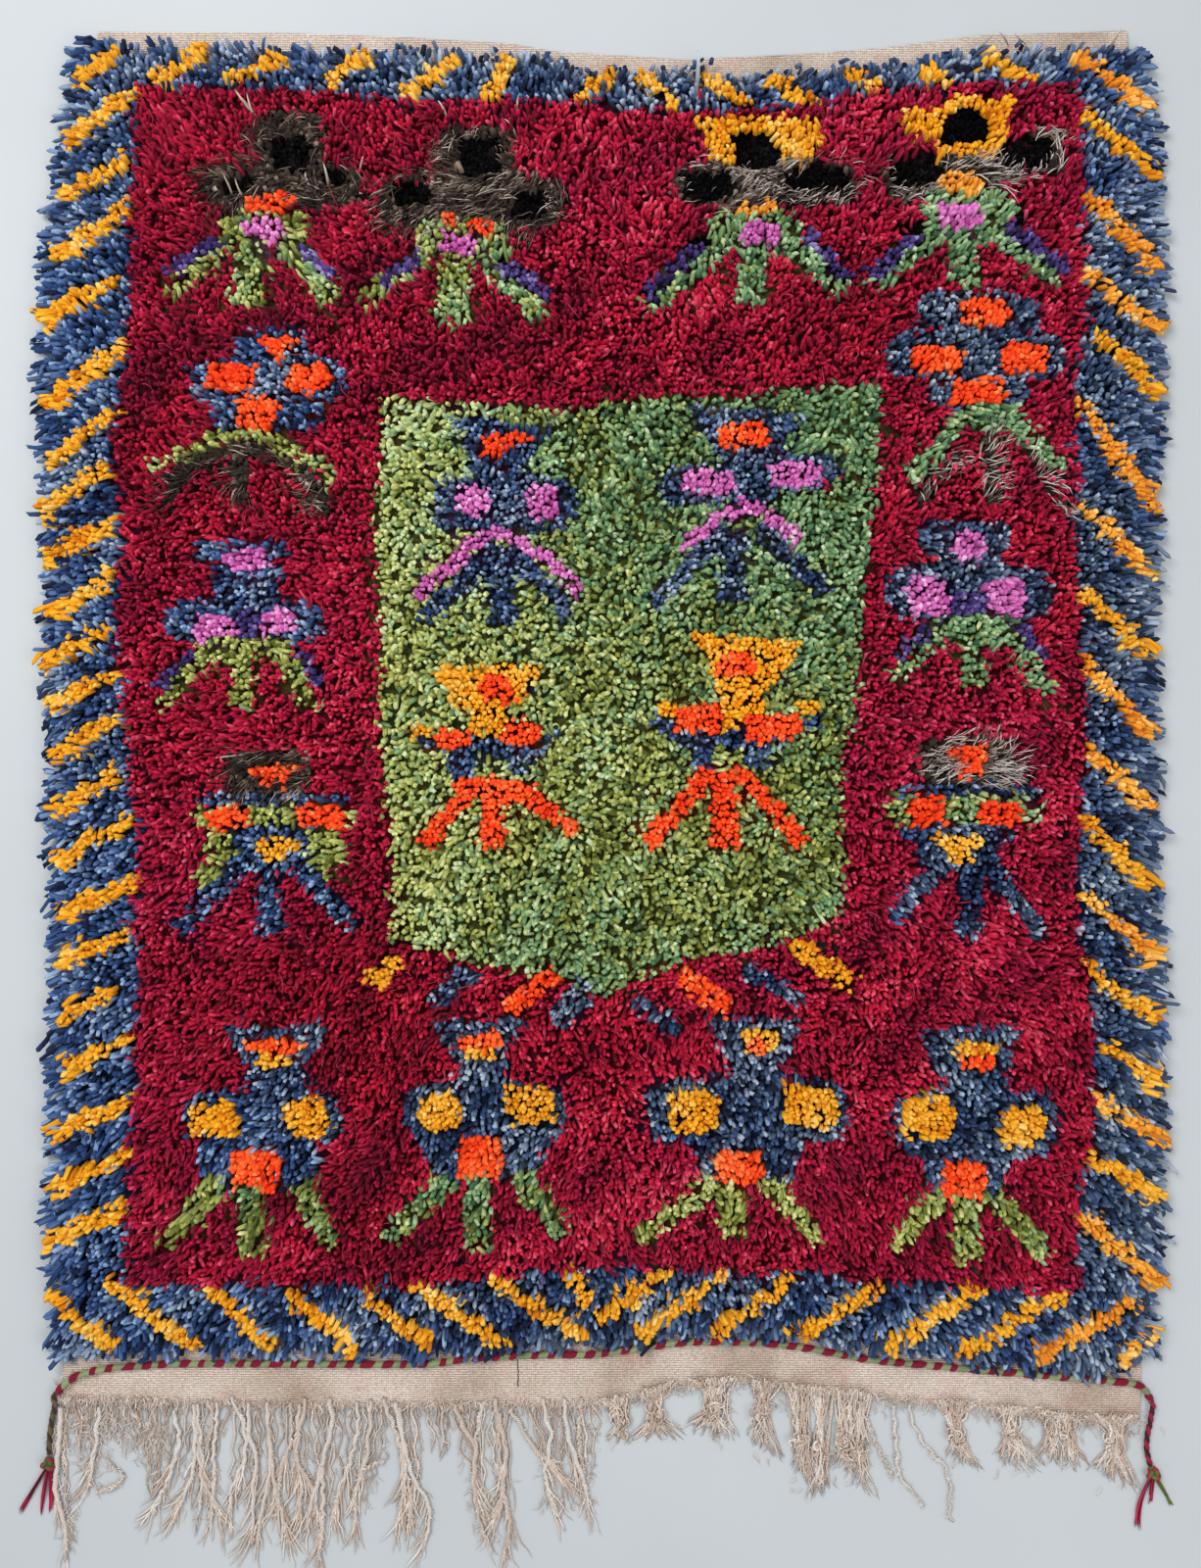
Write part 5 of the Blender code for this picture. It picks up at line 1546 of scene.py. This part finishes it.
def make_tail(side, cord_end, cord_before, rng, materials):
    """One free end of the twined line: a twisted cord with a knot and loose ends."""
    name = f"tail_{side}"
    onward = unit(cord_end - cord_before) * MM
    start = (cord_end + onward * TAIL_GAP, cord_end + onward * TAIL_STEP)
    path = smooth_route(np.vstack((*start, place(TAIL_ROUTES[name]))), 1.2 * MM)
    mesh = twisted_tube(f"{name}_cord", path, TAIL_RADIUS * MM, TAIL_PITCH * MM)
    cord = add_piece(f"{name}_cord", mesh, materials[name])
    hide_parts(name)
    knot = make_knot(side, materials[f"knot_{side}"])
    ends = make_loose_ends(name, rng, materials)


def make_knot(side, material):
    """A knot of two yarns, wound as a flat trefoil."""
    name = f"tail_{side}_knot"
    t = np.linspace(0, 2 * np.pi, 73)
    loop = np.stack((np.sin(t) + 2 * np.sin(2 * t), np.cos(t) - 2 * np.cos(2 * t), -np.sin(3 * t)), -1)
    path = place((*KNOTS[f"tail_{side}"], KNOT_MIDDLE) + loop * KNOT_SCALE)
    mesh = twisted_tube(f"{name}_yarn", path, KNOT_YARN_RADIUS * MM, KNOT_YARN_PITCH * MM)
    knot = add_piece(f"{name}_yarn", mesh, material)
    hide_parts(name)
    return knot


def make_loose_ends(name, rng, materials):
    """The loose ends below a knot, each a few yarns that part towards the tip."""
    rows = [row for row in LOOSE_ENDS[name] for _ in range(YARNS_AN_END)]
    count = len(rows)
    flat = (1, 1, 0)
    bend = np.array([(*row[1:3], 1.0) for row in rows]) + rng.normal(0, 0.9, (count, 3)) * flat
    tip = np.array([(*row[3:5], 1.2) for row in rows]) + rng.normal(0, 1.6, (count, 3)) * flat
    foot = np.tile((*KNOTS[name], KNOT_MIDDLE - 1.5), (count, 1))
    along = np.linspace(0, 1, 9)
    control = 2 * bend - (foot + tip) / 2
    control[:, 2] = LOOSE_BEND_HEIGHT
    centres = place(curve_at(foot, control, tip, along))
    radii = tapered("loose_end", count, along, rng)
    is_olive = np.array([row[0] == "olive" for row in rows])
    shade = rng.random(count) * np.where(is_olive, OLIVE_SHADE, 1)
    mesh = strand_mesh(f"{name}_ends", centres, radii * MM, 5, along, shade, np.zeros(count), rng)
    olive = np.repeat(is_olive, len(mesh.polygons) // count)
    obj = add_piece(f"{name}_ends", mesh, materials["crimson"], materials["sage"])
    mesh.polygons.foreach_set("material_index", olive.astype(np.int32))
    return obj


def new_material(name):
    """A material with its node tree and its shader."""
    material = bpy.data.materials.new(name)
    material.use_nodes = True
    tree = material.node_tree
    return material, tree, tree.nodes["Principled BSDF"]


def feed(tree, socket, value):
    """Links a socket to a node's output, or sets it to a plain value."""
    if isinstance(value, bpy.types.NodeSocket):
        tree.links.new(value, socket)
    else:
        socket.default_value = value


def mixed(tree, factor, first, second, blend="MIX"):
    """The output of a colour mix of two colours or links."""
    node = tree.nodes.new("ShaderNodeMix")
    node.data_type = "RGBA"
    node.blend_type = blend
    feed(tree, node.inputs[0], factor)
    feed(tree, node.inputs[6], first)
    feed(tree, node.inputs[7], second)
    return node.outputs[2]


def value_named(tree, name, output="Fac"):
    """What the mesh holds for each point by this name."""
    node = tree.nodes.new("ShaderNodeAttribute")
    node.attribute_name = name
    return node.outputs[output]


def ramp(tree, factor, stops, interpolation="LINEAR"):
    """The colour that a ramp gives. stops are places with linear colours."""
    node = tree.nodes.new("ShaderNodeValToRGB")
    node.color_ramp.interpolation = interpolation
    elements = node.color_ramp.elements
    while len(elements) < len(stops):
        elements.new(0.5)
    for element, (at, colour) in zip(elements, stops):
        element.position = at
        element.color = colour
    feed(tree, node.inputs["Fac"], factor)
    return node.outputs["Color"]


def shaded(tree, colour, factor, stops, strength=1.0):
    """The colour times what a ramp gives, or part of the way there."""
    return mixed(tree, strength, colour, ramp(tree, factor, stops), "MULTIPLY")


def grey(value):
    """A neutral colour, for what it multiplies or mixes."""
    return (value, value, value, 1.0)


def noise(tree, vector, scale, detail=3.0, roughness=0.5):
    """Smooth random values over a vector."""
    node = tree.nodes.new("ShaderNodeTexNoise")
    feed(tree, node.inputs["Vector"], vector)
    node.inputs["Scale"].default_value = scale
    node.inputs["Detail"].default_value = detail
    node.inputs["Roughness"].default_value = roughness
    return node.outputs["Fac"]


def scaled_uv(tree, across, along):
    """The strand's own coordinates, round it and along it, each scaled."""
    source = tree.nodes.new("ShaderNodeUVMap")
    source.uv_map = "Along"
    mapping = tree.nodes.new("ShaderNodeMapping")
    mapping.inputs["Scale"].default_value = (across, along, 1.0)
    tree.links.new(source.outputs["UV"], mapping.inputs["Vector"])
    return mapping.outputs["Vector"]


def object_place(tree):
    """A point's own place on the object."""
    return tree.nodes.new("ShaderNodeTexCoord").outputs["Object"]


def bump(tree, shader, height, distance):
    """Fine relief of this depth in metres."""
    node = tree.nodes.new("ShaderNodeBump")
    node.inputs["Distance"].default_value = distance
    node.inputs["Strength"].default_value = 1.0
    feed(tree, node.inputs["Height"], height)
    tree.links.new(node.outputs["Normal"], shader.inputs["Normal"])


def finish_wool(shader, roughness, sheen, tint, specular=0.15):
    """How wool takes the light: rough, with a soft sheen of this tint."""
    shader.inputs["Roughness"].default_value = roughness
    shader.inputs["Specular IOR Level"].default_value = specular
    shader.inputs["Sheen Weight"].default_value = sheen
    shader.inputs["Sheen Roughness"].default_value = 0.45
    shader.inputs["Sheen Tint"].default_value = tint


def pile_material(yarn):
    """Dyed wool: its shade from tuft to tuft, its dye lots in bands, painted shade at the root with a
    slight painted highlight at the tip, and fibrous.
    """
    material, tree, shader = new_material(f"{yarn}_wool")
    lots = [
        ramp(tree, value_named(tree, "shade"), list(zip((0.0, 0.36, 0.7, 1.0), map(linear, dyes))))
        for dyes in DYES[yarn]
    ]
    colour = mixed(tree, value_named(tree, "lot"), *lots)
    # Painted shade: each strand's colour is darker towards its root and slightly lighter at its tip, a
    # painted highlight
    root_shade = PAINTED_ROOT_SHADE.get(yarn, PAINTED_ROOT_SHADE["other"])
    root_shade_stops = ((0.25, grey(root_shade)), (0.6, grey(0.5 + root_shade / 2)), (0.85, grey(1.0)), (1.0, grey(1.05)))
    colour = shaded(tree, colour, value_named(tree, "along"), root_shade_stops)
    fibres = noise(tree, scaled_uv(tree, 7.0, 2.4), 1.0, 2.0)
    colour = shaded(tree, colour, fibres, ((0.32, grey(0.6)), (0.52, grey(1.0)), (0.7, grey(1.3))), 0.75)
    feed(tree, shader.inputs["Base Color"], colour)
    matt = yarn == "black"
    finish_wool(shader, 0.75, 0.0 if matt else 0.2, linear(DYES[yarn][0][3]), 0.03 if matt else 0.15)
    bump(tree, shader, fibres, 1.0 * MM)
    return material


def bed_material():
    """Yarn roots low in the pile, in painted shade: their yarns' colours darkened, with grain."""
    material, tree, shader = new_material("pile_depth_painted_shade")
    grain = noise(tree, object_place(tree), 420.0)
    # Painted shade: the yarns' colours darkened, with grain
    stops = ((0.3, grey(0.3 * BED_PAINTED_SHADE)), (0.7, grey(1.4 * BED_PAINTED_SHADE)))
    colour = shaded(tree, value_named(tree, "yarn_colour", "Color"), grain, stops)
    feed(tree, shader.inputs["Base Color"], colour)
    finish_wool(shader, 0.9, 0.0, grey(0.3))
    bump(tree, shader, grain, 2.0 * MM)
    return material


def wave(tree, vector, direction, period, distortion=0.0):
    """A wave that repeats after this length of its vector."""
    node = tree.nodes.new("ShaderNodeTexWave")
    node.wave_type = "BANDS"
    node.bands_direction = direction
    feed(tree, node.inputs["Vector"], vector)
    node.inputs["Scale"].default_value = 2 * math.pi / (10 * period)
    node.inputs["Distortion"].default_value = distortion
    node.inputs["Detail"].default_value = 2.0
    return node.outputs["Color"]


def weave_material():
    """Undyed plain weave with ribs across the rug, painted shade of puckers above the tassels, and rows of
    dyed knots on its back.
    """
    material, tree, shader = new_material("undyed_plain_weave")
    where = object_place(tree)
    ribs, warps = (
        wave(tree, where, way, period * MM, bend) for way, period, bend in zip("YX", RIB_PERIODS, RIB_BENDS)
    )
    threads = mixed(tree, 0.32, ribs, warps)
    beige = linear(WEAVE_BEIGE)
    apart = tree.nodes.new("ShaderNodeSeparateXYZ")
    tree.links.new(tree.nodes.new("ShaderNodeNewGeometry").outputs["Normal"], apart.inputs["Vector"])
    above = ramp(tree, apart.outputs["Z"], ((0.0, grey(0)), (0.02, grey(1))), "CONSTANT")
    rows = ramp(tree, wave(tree, where, "Y", BACK_ROWS * MM), ((0.45, grey(0)), (0.65, grey(0.8))))
    tied = mixed(tree, above, rows, grey(1))
    colour = mixed(tree, tied, beige, value_named(tree, "yarn_colour", "Color"))
    patches = ((0.3, (0.72, 0.66, 0.60, 1)), (0.5, grey(1)), (0.7, (1.2, 1.22, 1.27, 1)))
    colour = shaded(tree, colour, noise(tree, where, 9.0, 4.0, 0.6), patches)
    stained = ramp(tree, noise(tree, where, 26.0, 4.0, 0.65), ((0.5, grey(0)), (0.68, grey(0.34))))
    colour = mixed(tree, stained, colour, linear(MADDER_STAIN))
    colour = shaded(tree, colour, threads, ((0.15, grey(0.4)), (0.75, grey(1.2))), 0.85)
    # Painted shade: darker and browner where the cloth puckers above each tassel
    colour = shaded(tree, colour, value_named(tree, "drawn"), ((0.2, grey(1)), (1.0, (0.66, 0.6, 0.55, 1))))
    knots = tree.nodes.new("ShaderNodeMapping")
    knots.inputs["Scale"].default_value = (1.0, 1.7, 1.0)
    tree.links.new(where, knots.inputs["Vector"])
    specks = noise(tree, knots.outputs["Vector"], 340.0, 2.0, 0.6)
    colour = shaded(tree, colour, specks, ((0.36, grey(0.55)), (0.64, grey(1.35))), 0.6)
    feed(tree, shader.inputs["Base Color"], colour)
    finish_wool(shader, 0.85, 0.15, grey(0.8))
    bump(tree, shader, threads, 0.7 * MM)
    return material


def spun_material(name, colours, turns, twist_relief_and_shade):
    """Undyed wool spun into a yarn or rope, with its twist, given as turns in each repeat of its length,
    bumped and with painted shade in its grooves.
    """
    material, tree, shader = new_material(name)
    colour = ramp(tree, value_named(tree, "shade"), list(zip((0.0, 0.5, 1.0), map(linear, colours))))
    twist = wave(tree, scaled_uv(tree, 2.0, turns), "DIAGONAL", 0.5)
    fibres = noise(tree, scaled_uv(tree, 6.0, turns * 2.5), 1.0)
    # Painted shade in the twist's grooves, and a slightly lighter painted crest
    colour = shaded(tree, colour, twist, ((0.0, grey(0.5)), (0.7, grey(1.12))), twist_relief_and_shade)
    colour = shaded(tree, colour, fibres, ((0.3, grey(0.7)), (0.7, grey(1.2))), 0.6)
    feed(tree, shader.inputs["Base Color"], colour)
    finish_wool(shader, 0.8, 0.25, grey(0.9))
    bump(tree, shader, twist, 1.4 * twist_relief_and_shade * MM)
    return material


def ply_material(name):
    """A two-ply cord: each ply in its own colour, with fibres along it."""
    material, tree, shader = new_material(f"{name}_wool")
    first, second = map(linear, PLY_COLOURS[name])
    where = object_place(tree)
    fibres = noise(tree, where, 900.0, 3.0)
    drift = noise(tree, where, 28.0, 2.0)
    drifted = ramp(tree, drift, ((0.4, grey(0)), (0.62, grey(1))))
    second = mixed(tree, drifted, second, [0.7 * c for c in second[:3]] + [1])
    which = ramp(tree, value_named(tree, "ply"), ((0.0, grey(0)), (0.08, grey(1))))
    colour = mixed(tree, which, second, first)
    colour = shaded(tree, colour, fibres, ((0.3, grey(0.5)), (0.7, grey(1.25))), 0.7)
    feed(tree, shader.inputs["Base Color"], colour)
    finish_wool(shader, 0.7, 0.25, grey(0.6))
    bump(tree, shader, fibres, 0.5 * MM)
    return material


def make_materials():
    """Every material of the rug by its name."""
    materials = {yarn: pile_material(yarn) for yarn in YARNS}
    materials |= {name: ply_material(name) for name in PLY_COLOURS}
    materials |= {"bed": bed_material(), "weave": weave_material()}
    materials |= {name: spun_material(name, *looks) for name, looks in SPUN_YARNS.items()}
    return materials


def make_floor():
    """A plain pale floor."""
    bpy.ops.mesh.primitive_plane_add(size=FLOOR_SIZE, location=FLOOR_AT)
    floor = bpy.context.object
    floor.name = "floor"
    material, tree, shader = new_material("floor_paint")
    tone = noise(tree, object_place(tree), 3.0)
    feed(tree, shader.inputs["Base Color"], ramp(tree, tone, ((0.3, FLOOR_DARK), (0.7, FLOOR_LIGHT))))
    shader.inputs["Roughness"].default_value = 0.6
    floor.data.materials.append(material)
    floor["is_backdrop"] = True


def make_lights():
    """A broad key light from the upper left, a weaker fill from the lower right, and a pale surround."""
    for name, spot, size, power in LIGHTS:
        light = bpy.data.lights.new(name, "AREA")
        light.size = size
        light.energy = power
        obj = bpy.data.objects.new(name, light)
        obj.location = spot
        away = np.array(spot)
        obj.rotation_euler = (math.acos(away[2] / np.linalg.norm(away)), 0, math.atan2(away[0], -away[1]))
        bpy.context.scene.collection.objects.link(obj)
    world = bpy.data.worlds.new("pale_surround")
    world.use_nodes = True
    background = world.node_tree.nodes["Background"]
    background.inputs["Color"].default_value = SURROUND_COLOUR
    background.inputs["Strength"].default_value = SURROUND
    bpy.context.scene.world = world


def make_camera():
    """The picture's own camera, above the rug."""
    camera = bpy.data.cameras.new("camera")
    camera.lens = LENS
    camera.sensor_width = SENSOR
    obj = bpy.data.objects.new("camera", camera)
    obj.location = CAMERA_AT
    bpy.context.scene.collection.objects.link(obj)
    bpy.context.scene.camera = obj


def main():
    """The whole scene, in the order of its random draws."""
    rng = np.random.default_rng(SEED)
    bpy.context.scene.view_settings.view_transform = "Standard"
    make_camera()
    make_lights()
    make_floor()
    materials = make_materials()
    line = make_twined_line(materials["twined_line"])
    make_tail("left", line[0], line[1], rng, materials)
    make_tail("right", line[-1], line[-2], rng, materials)
    cloth = make_weave(rng, materials["weave"])
    fringe = [
        make_warp_ends(rng, materials["warp"]), make_ropes(rng, materials["rope"]),
        make_rope_ends(rng, materials["fuzz"]), make_rope_barbs(rng, materials["fuzz"]),
        make_tassels(rng, materials["warp"]), make_fuzz(rng, materials["fuzz"]),
        make_drawn_thread(rng, materials["goat"]),
    ]
    make_bed(rng, materials["bed"])
    tufts = make_pile(rng, materials)
    make_hair(tufts, rng, materials["goat"])
    make_stray_locks(rng, materials)
    make_wisps(rng, materials["crimson"])
    boxes = {"cad": CAD_BOX, "scene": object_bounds()}
    {key: [[float(c) for c in corner] for corner in box] for key, box in boxes.items()}


main()
